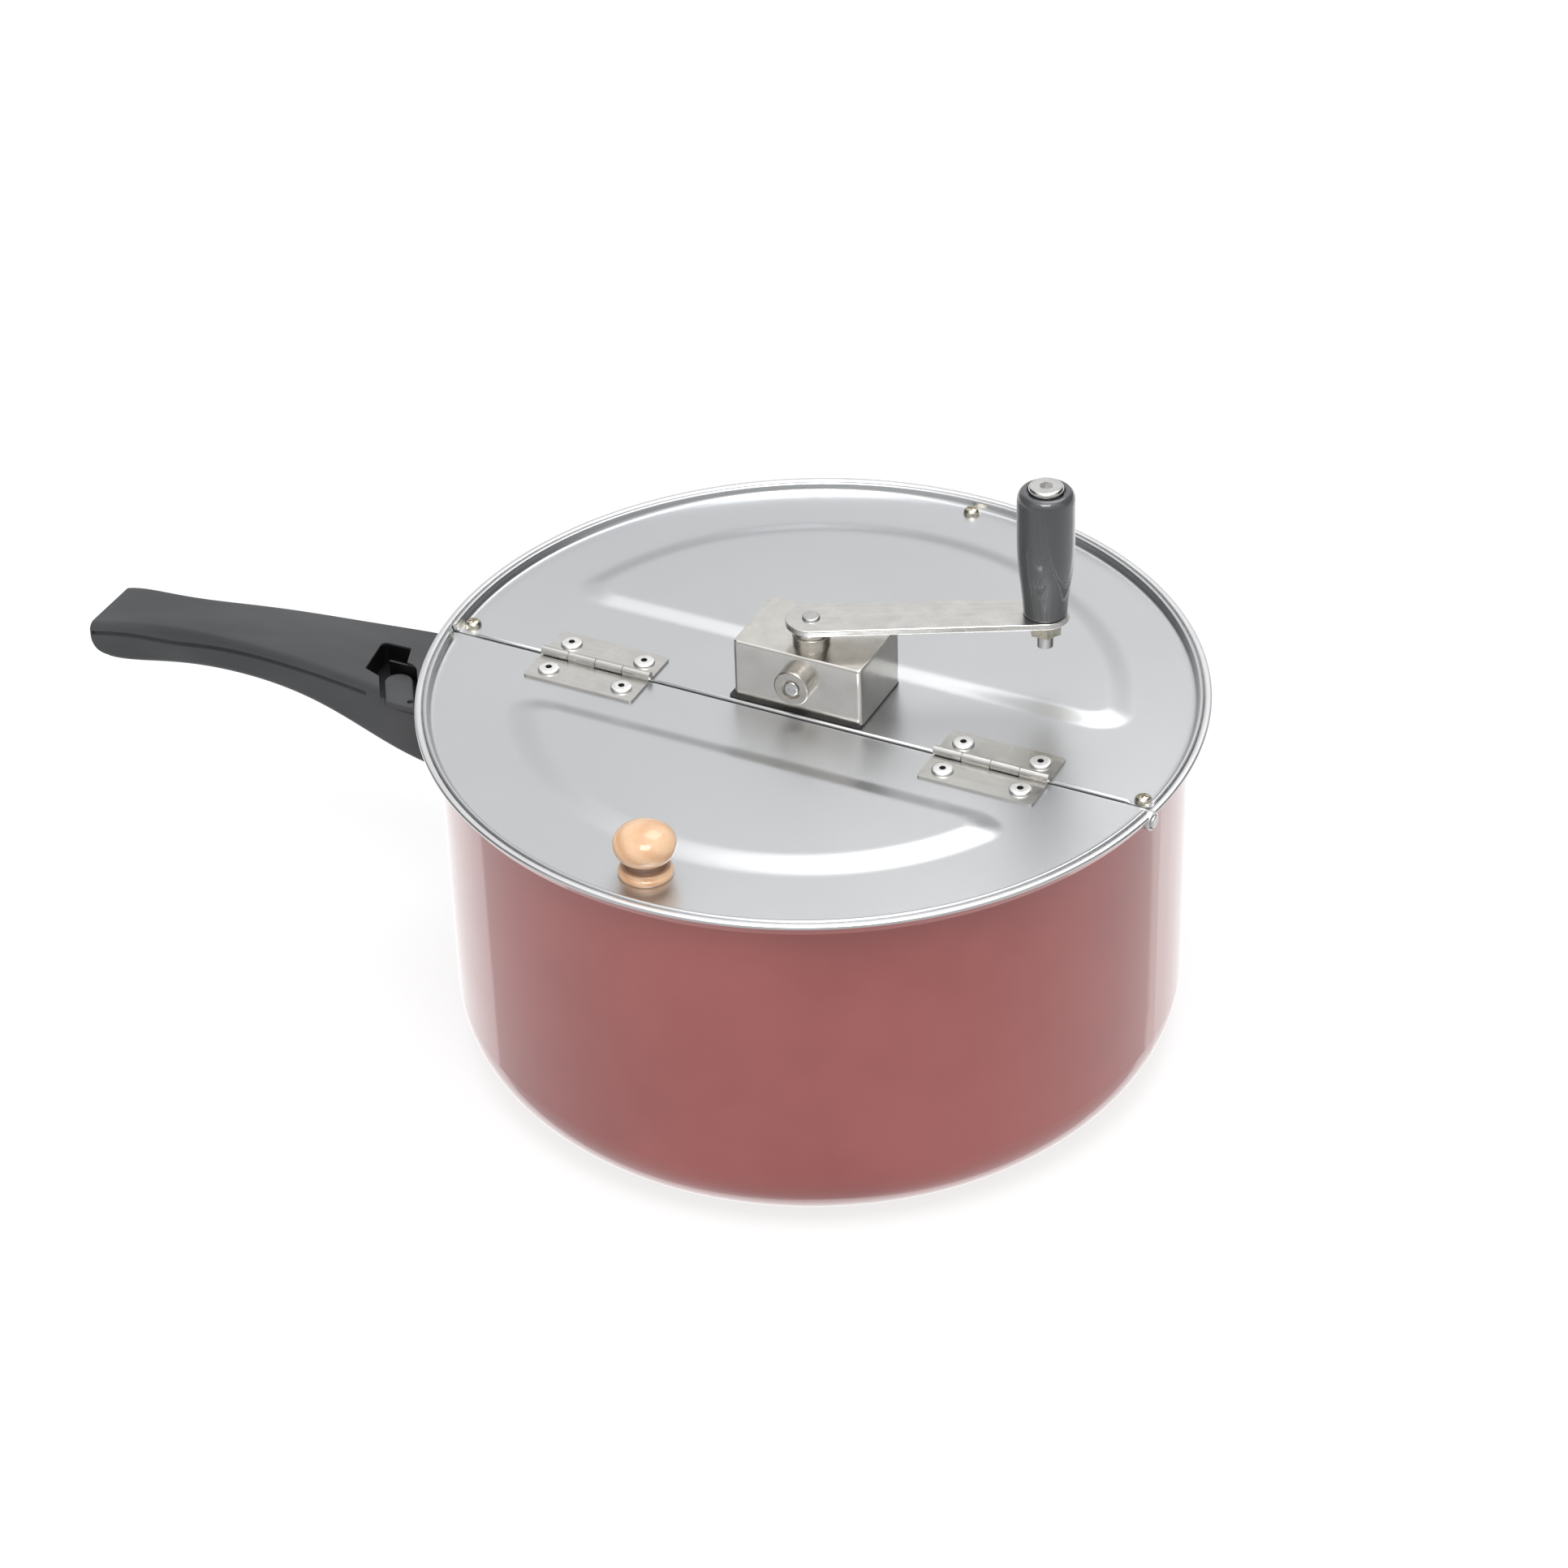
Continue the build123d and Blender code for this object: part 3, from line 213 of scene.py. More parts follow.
def turn(shape, section, centre=(0.0, 0.0), steps=96, closed=False):
    """Turns a section of (radius, height) points about an upright axis."""
    angles = [2 * pi * step / steps for step in range(steps)]
    rings = [
        [shape.verts.new((centre[0] + r * cos(t), centre[1] + r * sin(t), h)) for t in angles]
        for r, h in section
    ]
    pairs = list(zip(rings, rings[1:])) + ([(rings[-1], rings[0])] if closed else [])
    for low, high in pairs:
        for i in range(steps):
            j = (i + 1) % steps
            shape.faces.new((low[i], low[j], high[j], high[i]))


def turned_lines(finish, centre, fineness):
    """Fine rings left by a lathe, by their distance from an upright axis and their height."""
    x, y, z = finish.place.parts()
    out = ((x - centre[0]) ** 2.0 + (y - centre[1]) ** 2.0) ** 0.5
    rings = out.node("ShaderNodeCombineXYZ", {}, {0: out * fineness, 1: z * fineness, 2: 0.0})
    return rings.noise(1.0, 3.0, 0.7)


bright_rim = Finish("rim_metal", Metallic=1.0)
rolling = turned_lines(bright_rim, (0.0, 0.0), 5200.0)
bright_rim.give(
    "Base Color", rolling.ramp(0.25, 0.75).blend(tint(0.80, 0.80, 0.81), tint(0.90, 0.90, 0.905))
)
bright_rim.give("Roughness", bright_rim.place.noise(40.0).ramp(0.2, 0.8, 0.30, 0.40))
bright_rim.bump(rolling, 0.00002, 0.35)
paint(bright_rim, "rim_rivet")

# the collar's upper side is bare; its outside under the bead is enamelled with the pot
collar_finish = Finish("collar_metal", Coat_Roughness=0.035, Coat_IOR=1.75, Roughness=0.32)
upstand_flare, upstand_foot, paint_edge = 0.407, 0.07564, 0.00008
x, y, z = collar_finish.place.parts()
from_axis = (x * x + y * y) ** 0.5
round_upstand = (from_axis - z * upstand_flare).ramp(upstand_foot, upstand_foot + paint_edge)
under_ring = z.ramp(0.1263, 0.1262) * from_axis.ramp(0.1233, 0.1235)
outside = round_upstand.sum("MAXIMUM", round_upstand, under_ring)
collar_finish.give("Base Color", outside.blend(tint(0.82, 0.82, 0.83), rose_red))
collar_finish.give("Metallic", 1 - outside)
collar_finish.give("Coat Weight", outside)
paint(collar_finish, "lid_collar")

# the bead's section is an oval with slightly flattened sides
bead_radius, bead_level, bead_width, bead_height, bead_fullness = 0.12878, 0.13022, 0.00122, 0.00078, 0.8
bead = [
    (
        bead_radius + bead_width * abs(cos(t)) ** bead_fullness * (1 if cos(t) > 0 else -1),
        bead_level + bead_height * abs(sin(t)) ** bead_fullness * (1 if sin(t) > 0 else -1),
    )
    for t in np.linspace(0, 2 * pi, 20, endpoint=False) + 0.01
]
shape = bmesh.new()
turn(shape, bead, steps=384, closed=True)

# the lug is a round cup that lies on its side and looks straight out
lug_azimuth, lug_distance, lug_level = radians(-9.1), 0.1293, 0.1282
lug_section = [
    (0.0, -0.0010), (0.0032, -0.0010), (0.00335, 0.0003), (0.0031, 0.0008),
    (0.0027, 0.0009), (0.0023, 0.0006), (0.0021, 0.0002), (0.0, 0.0002),
]
lug_out = Vector((cos(lug_azimuth), sin(lug_azimuth), 0.0))
lug_turn = lug_out.to_track_quat("Z", "Y").to_matrix().to_4x4()
lug_place = Matrix.Translation(lug_out * lug_distance + Vector((0, 0, lug_level)))
lug = bmesh.new()
turn(lug, lug_section, steps=40)
bmesh.ops.transform(lug, verts=lug.verts, matrix=lug_place @ lug_turn)
shape.from_mesh(mesh_of("lug", lug))
add_piece("rolled_rim", mesh_of("rolled_rim", shape), bright_rim, "pot", "rim_metal", "rim_ring")

# ---- Lid -----------------------------------------------------------------------
# Two halves of one pressed aluminium disc, satin all over, each with a raised half-moon
# panel. The back half is screwed down and has a hem along the split; the front is a flap.

split_y = -0.015
half_gap = 0.0003
sheet = 0.001
panel_rise = 0.0016
panel_corner = 0.017
panel_back_slope = 0.75
slant_share = 0.45

satin_lid = Finish("lid_aluminium", Metallic=1.0)
mottle = satin_lid.place.noise(9.0, 3.0, 0.55)
grain = satin_lid.place.noise(2600.0, 2.0, 0.7)
x, y, z = satin_lid.place.parts()
past_split = y - split_y
above_lid = z.ramp(lid_top + 0.00015, lid_top + 0.00025)
# painted highlight: the hem's top along the split is painted near-white, brighter than the rest of the
# sheet
hem_highlight = past_split.ramp(0.0001, 0.0003) * past_split.ramp(0.0018, 0.0016) * above_lid
sheet_tone = mottle.ramp(0.3, 0.7).blend(tint(0.655, 0.668, 0.685), tint(0.70, 0.71, 0.722))
satin_lid.give("Base Color", hem_highlight.blend(sheet_tone, tint(0.93, 0.93, 0.93)))
satin_lid.give("Roughness", grain.ramp(0.2, 0.8, 0.28, 0.35))
satin_lid.bump(grain, 0.00003, 0.5)

# the turned-up lip, from the flat of the lid out and over: radius and height, then underside
lip_section = (
    (0.1238, 0.12820), (0.1245, 0.12828), (0.1251, 0.12862), (0.1255, 0.12930), (0.1257, 0.13015),
    (0.1258, 0.13068), (0.12605, 0.13092), (0.1265, 0.13103), (0.12702, 0.13095), (0.1273, 0.13070),
    (0.1273, 0.13030), (0.1271, 0.12960), (0.1267, 0.12860), (0.1262, 0.12770), (0.1256, 0.12725),
)


def panel_height(x, y, side, radius, edge, band):
    """Height of the pressed panel over the flat of the lid: part slant, part smooth step."""
    out = np.hypot(x, y) - radius
    back = (edge - side * (y - split_y)) / panel_back_slope
    both = np.hypot(np.maximum(out + panel_corner, 0), np.maximum(back + panel_corner, 0))
    depth = -(both + np.minimum(np.maximum(out, back) + panel_corner, 0) - panel_corner)
    t = np.clip(depth / band, 0, 1)
    return panel_rise * (slant_share * t + (1 - slant_share) * t * t * (3 - 2 * t))


def lid_half(side, sink, radius, edge, band, relief):
    """One half of the lid as a closed sheet: rays from the middle of the split, then the lip.

    The sheet is thinner by sink, and its lip fades out over a relief beside the split. The
    panel has an outer radius, an edge that far from the split, and a band that rises.
    """
    rays, rows = 300, 118
    lip_fade = 0.0016
    start_y = split_y + side * half_gap
    angles = np.linspace(0, pi, rays + 1)
    flat_end = lip_section[0][0]
    dx, dy = np.cos(angles), side * np.sin(angles)
    reach = -start_y * dy + np.sqrt((start_y * dy) ** 2 - start_y**2 + flat_end**2)
    share = np.linspace(0, 1, rows + 1)[1:, None]
    x, y = share * reach * dx, start_y + share * reach * dy
    z = lid_top + panel_height(x, y, side, radius, edge, band)
    top = np.stack([x, y, z], -1)
    under = top - (0, 0, sheet - sink)
    around = np.arctan2(y[-1], x[-1])
    ends = np.clip((np.abs(top[-1, :, 1] - split_y) - relief) / lip_fade, 0, 1) if relief else 1.0
    lip = []
    for lip_radius, lip_height in lip_section[1:]:
        px, py = lip_radius * np.cos(around), lip_radius * np.sin(around)
        clear = np.maximum(0, half_gap - side * (py - split_y))
        height = lid_top + (lip_height - lid_top) * (ends if lip_height > lid_top else 1.0)
        lip.append(np.stack([px, py + side * clear, height + 0 * px], -1))
    shape = bmesh.new()
    middle = [shape.verts.new((0, start_y, lid_top - drop)) for drop in (0.0, sheet - sink)]
    sheets = [
        [[shape.verts.new(p) for p in row] for row in rows_of]
        for rows_of in (list(top) + lip, list(under))
    ]
    for rows_of, hub in zip(sheets, middle):
        for i in range(rays):
            shape.faces.new((hub, rows_of[0][i], rows_of[0][i + 1]))
            for low, high in zip(rows_of, rows_of[1:]):
                shape.faces.new((low[i], high[i], high[i + 1], low[i + 1]))
    for i in range(rays):
        outer, inner = sheets[0][-1], sheets[1][-1]
        shape.faces.new((outer[i], inner[i], inner[i + 1], outer[i + 1]))
    for i in (0, rays):
        edge_top = [middle[0]] + [row[i] for row in sheets[0]]
        edge_under = [middle[1]] + [row[i] for row in sheets[1]]
        for low, high in zip(range(rows), range(1, rows + 1)):
            shape.faces.new((edge_top[low], edge_top[high], edge_under[high], edge_under[low]))
        shape.faces.new([row[i] for row in sheets[0][rows - 1:]] + [sheets[1][-1][i]])
    return shape


hinge_middles = (-0.072, 0.0705)
hinge_half = 0.02
hem_radius = 0.0006
hem_reach = 0.118
hem_clearance = 0.0004
hem_lift, hem_crown = 0.45, 1.05
hem_end, end_swell = 0.0012, 0.35
hem_sides = 16

# the hem runs along the split and stops short of each hinge
back_half = lid_half(side=1, sink=0.0, radius=0.105, edge=0.0336, band=0.0086, relief=0.0)
hem_stops = [-hem_reach]
for middle in hinge_middles:
    hem_stops += [middle - hinge_half - hem_clearance, middle + hinge_half + hem_clearance]
hem_stops.append(hem_reach)
for start, end in zip(hem_stops[0::2], hem_stops[1::2]):
    ring_before = None
    for place, swell in ((start, end_swell), (start + hem_end, 1), (end - hem_end, 1), (end, end_swell)):
        ring = [
            back_half.verts.new((
                place,
                split_y + half_gap + hem_radius * (1 + cos(t)),
                lid_top + swell * hem_radius * (hem_lift + hem_crown * sin(t)),
            ))
            for t in np.linspace(0, 2 * pi, hem_sides, endpoint=False)
        ]
        if ring_before:
            for i in range(hem_sides):
                j = (i + 1) % hem_sides
                back_half.faces.new((ring_before[i], ring_before[j], ring[j], ring[i]))
        else:
            back_half.faces.new(ring)
        ring_before = ring
    back_half.faces.new(ring_before)
add_piece("lid_back_half", mesh_of("lid_back_half", back_half, 50.0), satin_lid, "pot",
          "lid_aluminium", "lid_fixed")
front_half = lid_half(side=-1, sink=0.0001, radius=0.100, edge=0.0226, band=0.0095, relief=0.0024)
add_piece("lid_front_half", mesh_of("lid_front_half", front_half, 50.0), satin_lid, "flap",
          "lid_aluminium", "lid_flap")

# ---- Lid screws ------------------------------------------------------------------
# Three pan-head screws with a cross slot hold the back half to the collar. They are
# steel with a yellowish nickel plate, as are the other small fasteners.

yellow_nickel = Finish("fasteners", Metallic=1.0)
wear = yellow_nickel.place.noise(900.0, 3.0, 0.6)
plate_tone = wear.ramp(0.3, 0.7).blend(tint(0.60, 0.56, 0.45), tint(0.74, 0.70, 0.60))
yellow_nickel.give("Base Color", plate_tone)
yellow_nickel.give("Roughness", wear.ramp(0.2, 0.8, 0.18, 0.36))
yellow_nickel.bump(wear, 0.00003, 0.4)


turn_between_heads = 1.9


def heads_tree(name, cut):
    """Node tree: a domed head at each of its object's points, with a recess cut in it."""
    tree = bpy.data.node_groups.new(name, "GeometryNodeTree")
    tree.interface.new_socket("Points", in_out="INPUT", socket_type="NodeSocketGeometry")
    for label in ("Head Radius", "Head Height", "Flatness", "Recess Size", "Recess Depth"):
        tree.interface.new_socket(label, in_out="INPUT", socket_type="NodeSocketFloat")
    tree.interface.new_socket("Finish", in_out="INPUT", socket_type="NodeSocketMaterial")
    tree.interface.new_socket("Heads", in_out="OUTPUT", socket_type="NodeSocketGeometry")
    given = tree.nodes.new("NodeGroupInput")
    points, radius, height, flat, recess, depth, finish = [
        Wire(tree, output) for output in given.outputs[:7]
    ]

    def spot(out, up):
        return points.node("ShaderNodeCombineXYZ", {}, {0: out, 1: up, 2: 0.0})

    dome = points.node(
        "GeometryNodeCurvePrimitiveBezierSegment",
        {"mode": "POSITION"},
        {
            "Resolution": 12,
            "Start": spot(0.0, height * -1.0),
            "Start Handle": spot(radius * flat, height * -1.0),
            "End Handle": spot(radius, height * flat * -1.0),
            "End": spot(radius, 0.0),
        },
    )
    seat = points.node("GeometryNodeCurvePrimitiveLine", {}, {0: spot(radius, 0.0), 1: spot(0.0, 0.0)})
    circle = points.node("GeometryNodeCurvePrimitiveCircle", {}, {"Resolution": 48, "Radius": 1e-7})
    halves = [
        points.node("GeometryNodeCurveToMesh", {}, {0: circle, 1: profile}) for profile in (dome, seat)
    ]
    joined = points.node("GeometryNodeJoinGeometry", {}, {0: halves[0]})
    tree.links.new(halves[1].socket, joined.socket.node.inputs[0])
    whole = points.node("GeometryNodeMergeByDistance", {}, {0: joined, "Distance": 2e-6})
    cutter = cut(points, recess, depth)
    lift = points.node("ShaderNodeCombineXYZ", {}, {0: 0.0, 1: 0.0, 2: height})
    raised = points.node("GeometryNodeTransform", {}, {"Geometry": cutter, "Translation": lift})
    head = points.node(
        "GeometryNodeMeshBoolean", {"operation": "DIFFERENCE", "solver": "EXACT"}, {0: whole, 1: raised}
    )
    place = points.node("GeometryNodeInputIndex", {}, {})
    turned_by = points.node("ShaderNodeCombineXYZ", {}, {0: 0.0, 1: 0.0, 2: place * turn_between_heads})
    copies = points.node(
        "GeometryNodeInstanceOnPoints", {}, {"Points": points, "Instance": head, "Rotation": turned_by}
    )
    real = points.node("GeometryNodeRealizeInstances", {}, {0: copies})
    painted = points.node("GeometryNodeSetMaterial", {}, {0: real, "Material": finish})
    out = tree.nodes.new("NodeGroupOutput")
    tree.links.new(painted.socket, out.inputs[0])
    return tree


def cross_cut(wire, size, depth):
    """Two crossed bars, as deep below their middle as the recess."""
    length = size * 4.0
    bars = [
        wire.node("GeometryNodeMeshCube", {}, {
            "Size": wire.node("ShaderNodeCombineXYZ", {}, {0: a, 1: b, 2: depth * 2.0})
        })
        for a, b in ((length, size), (size, length))
    ]
    both = wire.node("GeometryNodeMeshBoolean", {"operation": "UNION", "solver": "EXACT"}, {1: bars[0]})
    wire.tree.links.new(bars[1].socket, both.socket.node.inputs[1])
    return both


def eye_cut(wire, size, depth):
    """A round peg, as deep below its middle as the recess."""
    return wire.node(
        "GeometryNodeMeshCylinder", {}, {"Vertices": 24, "Radius": size, "Depth": depth * 2.0}
    )


def heads(name, tree, places, finish, sizes):
    """Plain mesh of the heads that the tree makes at the places."""
    points = bpy.data.meshes.new(name)
    points.from_pydata(places, [], [])
    carrier = bpy.data.objects.new(name + "_points", points)
    bpy.context.scene.collection.objects.link(carrier)
    modifier = carrier.modifiers.new("heads", "NODES")
    modifier.node_group = tree
    values = dict(sizes, Finish=finish.material)
    for item in tree.interface.items_tree:
        if item.in_out == "INPUT" and item.name in values:
            modifier[item.identifier] = values[item.name]
    carrier.update_tag()
    graph = bpy.context.evaluated_depsgraph_get()
    graph.update()
    made = bpy.data.meshes.new_from_object(carrier.evaluated_get(graph))
    bpy.data.objects.remove(carrier)
    made.shade_smooth()
    made.set_sharp_from_angle(angle=radians(45))
    made.name = name
    return made


screw_tree = heads_tree("cross_slot_screws", cross_cut)
screw_circle, screw_azimuths = 0.122, (-5.5, 89.0, 184.4)
lid_screw_places = [
    (screw_circle * cos(radians(a)), screw_circle * sin(radians(a)), lid_top) for a in screw_azimuths
]
lid_screw_heads = heads("lid_screw_heads", screw_tree, lid_screw_places, yellow_nickel, {
    "Head Radius": 0.0029, "Head Height": 0.0022, "Flatness": 0.70,
    "Recess Size": 0.00072, "Recess Depth": 0.0010,
})
add_piece("lid_screw_heads", lid_screw_heads, yellow_nickel, "pot", "fasteners", "lid_screws")
paint(yellow_nickel, "gearbox_screws", "knob_washer", "knob_screw", "stirrer_bush_nut",
      "grip_nut", "shaft_clip", "stirrer_set_screw", "bracket_rivets", "handle_screw")

# ---- Hinges ----------------------------------------------------------------------
# Two steel butt hinges, satin nickel, with rolled barrels on a pin. Four hollow aluminium
# rivets with broad flat heads fix each one through the lid.


def brushed(name, dark, light, roughness, stretch, turn_by=0.0, depth=0.000012):
    """Metal with fine lines: stretch says how close they are along each axis."""
    finish = Finish(name, Metallic=1.0)
    place = finish.place.node("ShaderNodeVectorRotate", {"rotation_type": "Z_AXIS"},
                              {"Vector": finish.place, "Angle": -turn_by})
    lines = place.scaled(*stretch).noise(1.0, 4.0, 0.65)
    cloud = finish.place.noise(120.0, 3.0, 0.6)
    shade = lines * 0.5 + cloud * 0.5
    finish.give("Base Color", shade.ramp(0.3, 0.7).blend(tint(*dark), tint(*light)))
    finish.give("Roughness", cloud.ramp(0.3, 0.7, roughness - 0.03, roughness + 0.04))
    finish.bump(lines, depth, 0.1)
    return finish


hinge_nickel = brushed(
    "hinge_steel", (0.66, 0.65, 0.62), (0.74, 0.73, 0.70), 0.24, (60.0, 900.0, 900.0)
)
paint(hinge_nickel, "hinge_leaves_fixed", "hinge_leaves_flap", "hinge_pins")

# each rivet is open in the middle, and its eye is painted near-black as painted shade in the hollow; the
# eye is found by folding the eight places on one
leaf_thickness = 0.0008
rivet_shift, rivet_row = 0.0135, 0.0081
hinge_centre = (hinge_middles[0] + hinge_middles[1]) / 2
hinge_spread = (hinge_middles[1] - hinge_middles[0]) / 2
rivet_white = Finish("rivet_aluminium", Metallic=1.0)
dents = rivet_white.place.noise(700.0, 3.0, 0.6)
x, y, z = rivet_white.place.parts()
across = x.sum("ABSOLUTE", x - hinge_centre) - hinge_spread
across = x.sum("ABSOLUTE", across) - rivet_shift
along = y.sum("ABSOLUTE", y - split_y) - rivet_row
# painted shade: near-black inside each rivet's hollow eye
eye_shade = ((across * across + along * along) ** 0.5).ramp(0.00118, 0.00098)
rivet_face = dents.ramp(0.3, 0.7).blend(tint(0.86, 0.86, 0.85), tint(0.94, 0.94, 0.93))
rivet_white.give("Base Color", eye_shade.blend(rivet_face, tint(0.055, 0.05, 0.045)))
rivet_white.give("Roughness", dents.ramp(0.2, 0.8, 0.3, 0.45))
rivet_white.bump(dents, 0.00004, 0.5)

leaf_top = lid_top + leaf_thickness
rivet_tree = heads_tree("hollow_rivets", eye_cut)
rivet_sizes = {"Head Radius": 0.0037, "Head Height": 0.001, "Flatness": 0.93,
               "Recess Size": 0.00105, "Recess Depth": 0.0009}
tail_sizes = dict(rivet_sizes, **{"Head Radius": 0.0024, "Head Height": 0.0009, "Flatness": 0.7})
for side, body in ((1, "pot"), (-1, "flap")):
    places = [
        (middle + shift, split_y + side * rivet_row, leaf_top)
        for middle in hinge_middles
        for shift in (-rivet_shift, rivet_shift)
    ]
    rivet_set = "hinge_rivets_" + ("fixed" if side > 0 else "flap")
    shape = bmesh.new()
    shape.from_mesh(heads(rivet_set + "_heads", rivet_tree, places, rivet_white, rivet_sizes))

    # the tails are made the right way up and turned over, under the sheet
    tail_places = [(px, -py, sheet - lid_top) for px, py, _ in places]
    tails = heads(rivet_set + "_tails", rivet_tree, tail_places, rivet_white, tail_sizes)
    tails.transform(Matrix.Rotation(pi, 4, "X"))
    shape.from_mesh(tails)
    add_piece(rivet_set + "_turned", mesh_of(rivet_set + "_turned", shape, 45.0), rivet_white, body,
              "rivet_aluminium", rivet_set)

# ---- Wooden knob -------------------------------------------------------------------
# Turned from one piece of light hardwood, with a flat foot, a narrow neck and a round
# cap, stained pale orange and varnished. A screw from under the flap holds it.

knob_centre = (-0.005, -0.1092)
knob_section = [(0.0, 0.0), (0.0086, 0.0), (0.0088, 0.0003), (0.0088, 0.0013), (0.0086, 0.0017),
                (0.0082, 0.0019), (0.0080, 0.0021), (0.0080, 0.0029), (0.0077, 0.0033), (0.0070, 0.0034),
                (0.0065, 0.0037), (0.0063, 0.0043), (0.0063, 0.0056), (0.0066, 0.0062)]
cap_foot, cap_low, cap_middle, cap_radius, cap_rise = 0.0067, 0.0063, 0.0112, 0.0101, 0.0061
knob_section += [
    (cap_foot + (cap_radius - cap_foot) * sin(t), cap_middle - (cap_middle - cap_low) * cos(t))
    for t in np.linspace(0.08, pi / 2, 12)
]
knob_section += [
    (cap_radius * cos(t) ** 0.97, cap_middle + cap_rise * sin(t)) for t in np.linspace(0.12, pi / 2, 16)
]
knob_section[-1] = (0.0, cap_middle + cap_rise)

varnished_wood = Finish(
    "knob_wood", Metallic=0.0, Coat_Weight=1.0, Coat_Roughness=0.08, Coat_IOR=1.5
)

# the knob is cut from beside the tree's heart, which runs front to back and wavers a little
heart, waver, rings_per_metre = (-0.03, -0.118, 0.10), (0.004, 0.004, 0.004), 420.0
from_heart = varnished_wood.place.node(
    "ShaderNodeVectorMath", {"operation": "SUBTRACT"}, {0: varnished_wood.place, 1: heart}
)
drift = from_heart.node("ShaderNodeTexNoise", {}, {"Vector": from_heart, "Scale": 60.0}, "Color")
bent = from_heart.node(
    "ShaderNodeVectorMath", {"operation": "MULTIPLY_ADD"}, {0: drift, 1: waver, 2: from_heart}
)
wx, _, wz = bent.parts()
grown = (wx * wx + wz * wz) ** 0.5 * rings_per_metre
year_rings = grown.sum("PINGPONG", grown, 1.0)
pores = from_heart.scaled(2600.0, 300.0, 2600.0).noise(1.0, 2.0, 0.6)
wood_shade = year_rings.ramp(0.15, 0.95) * 0.6 + pores.ramp(0.35, 0.75) * 0.3
wood_tone = wood_shade.blend(tint(0.92, 0.61, 0.38), tint(0.74, 0.40, 0.20))
_, _, z = varnished_wood.place.parts()
# painted shade: the neck under the cap's overhang is painted dark brown
neck_shade = z.ramp(lid_top + 0.0072, lid_top + 0.0058) * z.ramp(lid_top + 0.0028, lid_top + 0.0036)
varnished_wood.give("Base Color", neck_shade.blend(wood_tone, tint(0.33, 0.17, 0.10)))
varnished_wood.give("Roughness", pores.ramp(0.3, 0.7, 0.34, 0.5))
varnished_wood.bump(pores, 0.00004, 0.25)

shape = bmesh.new()
turn(shape, [(r, lid_top + h) for r, h in knob_section], knob_centre, steps=96)
add_piece("turned_knob", mesh_of("turned_knob", shape, 60.0), varnished_wood, "flap", "knob_wood",
          "wooden_knob")

# ---- Gearbox ---------------------------------------------------------------------
# A folded steel box with rounded edges, satin nickel with a warm tone, on a black rubber
# gasket. A turned bush stands on its top, and a bush with a screw in it at its front.

box_nickel = Finish("gearbox_steel", Metallic=1.0)
drawn = box_nickel.place.scaled(160.0, 160.0, 4200.0).noise(1.0, 4.0, 0.7)
stain = box_nickel.place.noise(140.0, 4.0, 0.62)
box_shade = drawn * 0.4 + stain * 0.6
box_tone = box_shade.ramp(0.3, 0.7).blend(tint(0.76, 0.735, 0.695), tint(0.86, 0.84, 0.80))
box_nickel.give("Base Color", box_tone)
box_nickel.give("Roughness", stain.ramp(0.3, 0.7, 0.18, 0.23))
box_nickel.bump(box_nickel.place.noise(1500.0, 3.0, 0.6), 0.00002, 0.4)
paint(box_nickel, "gearbox_housing")

black_rubber = Finish("gasket_rubber", Metallic=0.0)
rubber_grain = black_rubber.place.noise(1200.0, 3.0)
rubber_tone = rubber_grain.ramp(0.3, 0.7).blend(tint(0.016, 0.016, 0.016), tint(0.035, 0.034, 0.033))
black_rubber.give("Base Color", rubber_tone)
black_rubber.give("Roughness", rubber_grain.ramp(0.2, 0.8, 0.55, 0.75))
black_rubber.bump(rubber_grain, 0.00006, 0.5)
paint(black_rubber, "gearbox_gasket")


def turned_metal(name, dark, light, roughness, centre=(0.0, 0.0), fineness=4200.0):
    """Turned and plated metal, with the lathe's rings about an upright axis."""
    finish = Finish(name, Metallic=1.0)
    rings = turned_lines(finish, centre, fineness)
    cloud = finish.place.noise(300.0, 3.0)
    shade = rings.ramp(0.25, 0.75) * 0.6 + cloud.ramp(0.3, 0.7) * 0.4
    finish.give("Base Color", shade.blend(tint(*dark), tint(*light)))
    finish.give("Roughness", cloud.ramp(0.2, 0.8, roughness - 0.04, roughness + 0.06))
    finish.bump(rings, 0.00002, 0.4)
    return finish


bush_nickel = turned_metal("bush_nickel", (0.60, 0.57, 0.52), (0.76, 0.73, 0.68), 0.22)
paint(bush_nickel, "top_bush", "axle_bush", "stirrer_bush", "crank_spacer")

# ---- Crank -----------------------------------------------------------------------
# A flat steel arm riveted over the shaft's tenon, with a stepped spacer under it. At its
# far end a bolt, with a flange nut below, carries the turning grip of dark plastic.

crank_azimuth, crank_throw = radians(26.5), 0.0758
grip_centre = (crank_throw * cos(crank_azimuth), crank_throw * sin(crank_azimuth))
arm_top = lid_top + 0.0300

arm_nickel = brushed("arm_steel", (0.70, 0.69, 0.66), (0.78, 0.77, 0.745), 0.26,
                     (50.0, 700.0, 700.0), crank_azimuth)
paint(arm_nickel, "crank_arm")
turned_steel = turned_metal("shaft_steel", (0.52, 0.52, 0.52), (0.68, 0.68, 0.67), 0.28)
paint(turned_steel, "crank_shaft", "idler_axle", "stirrer_shaft")
bolt_nickel = turned_metal("bolt_plating", (0.72, 0.71, 0.69), (0.86, 0.86, 0.85), 0.14, grip_centre)
paint(bolt_nickel, "grip_bolt", "axle_screw")

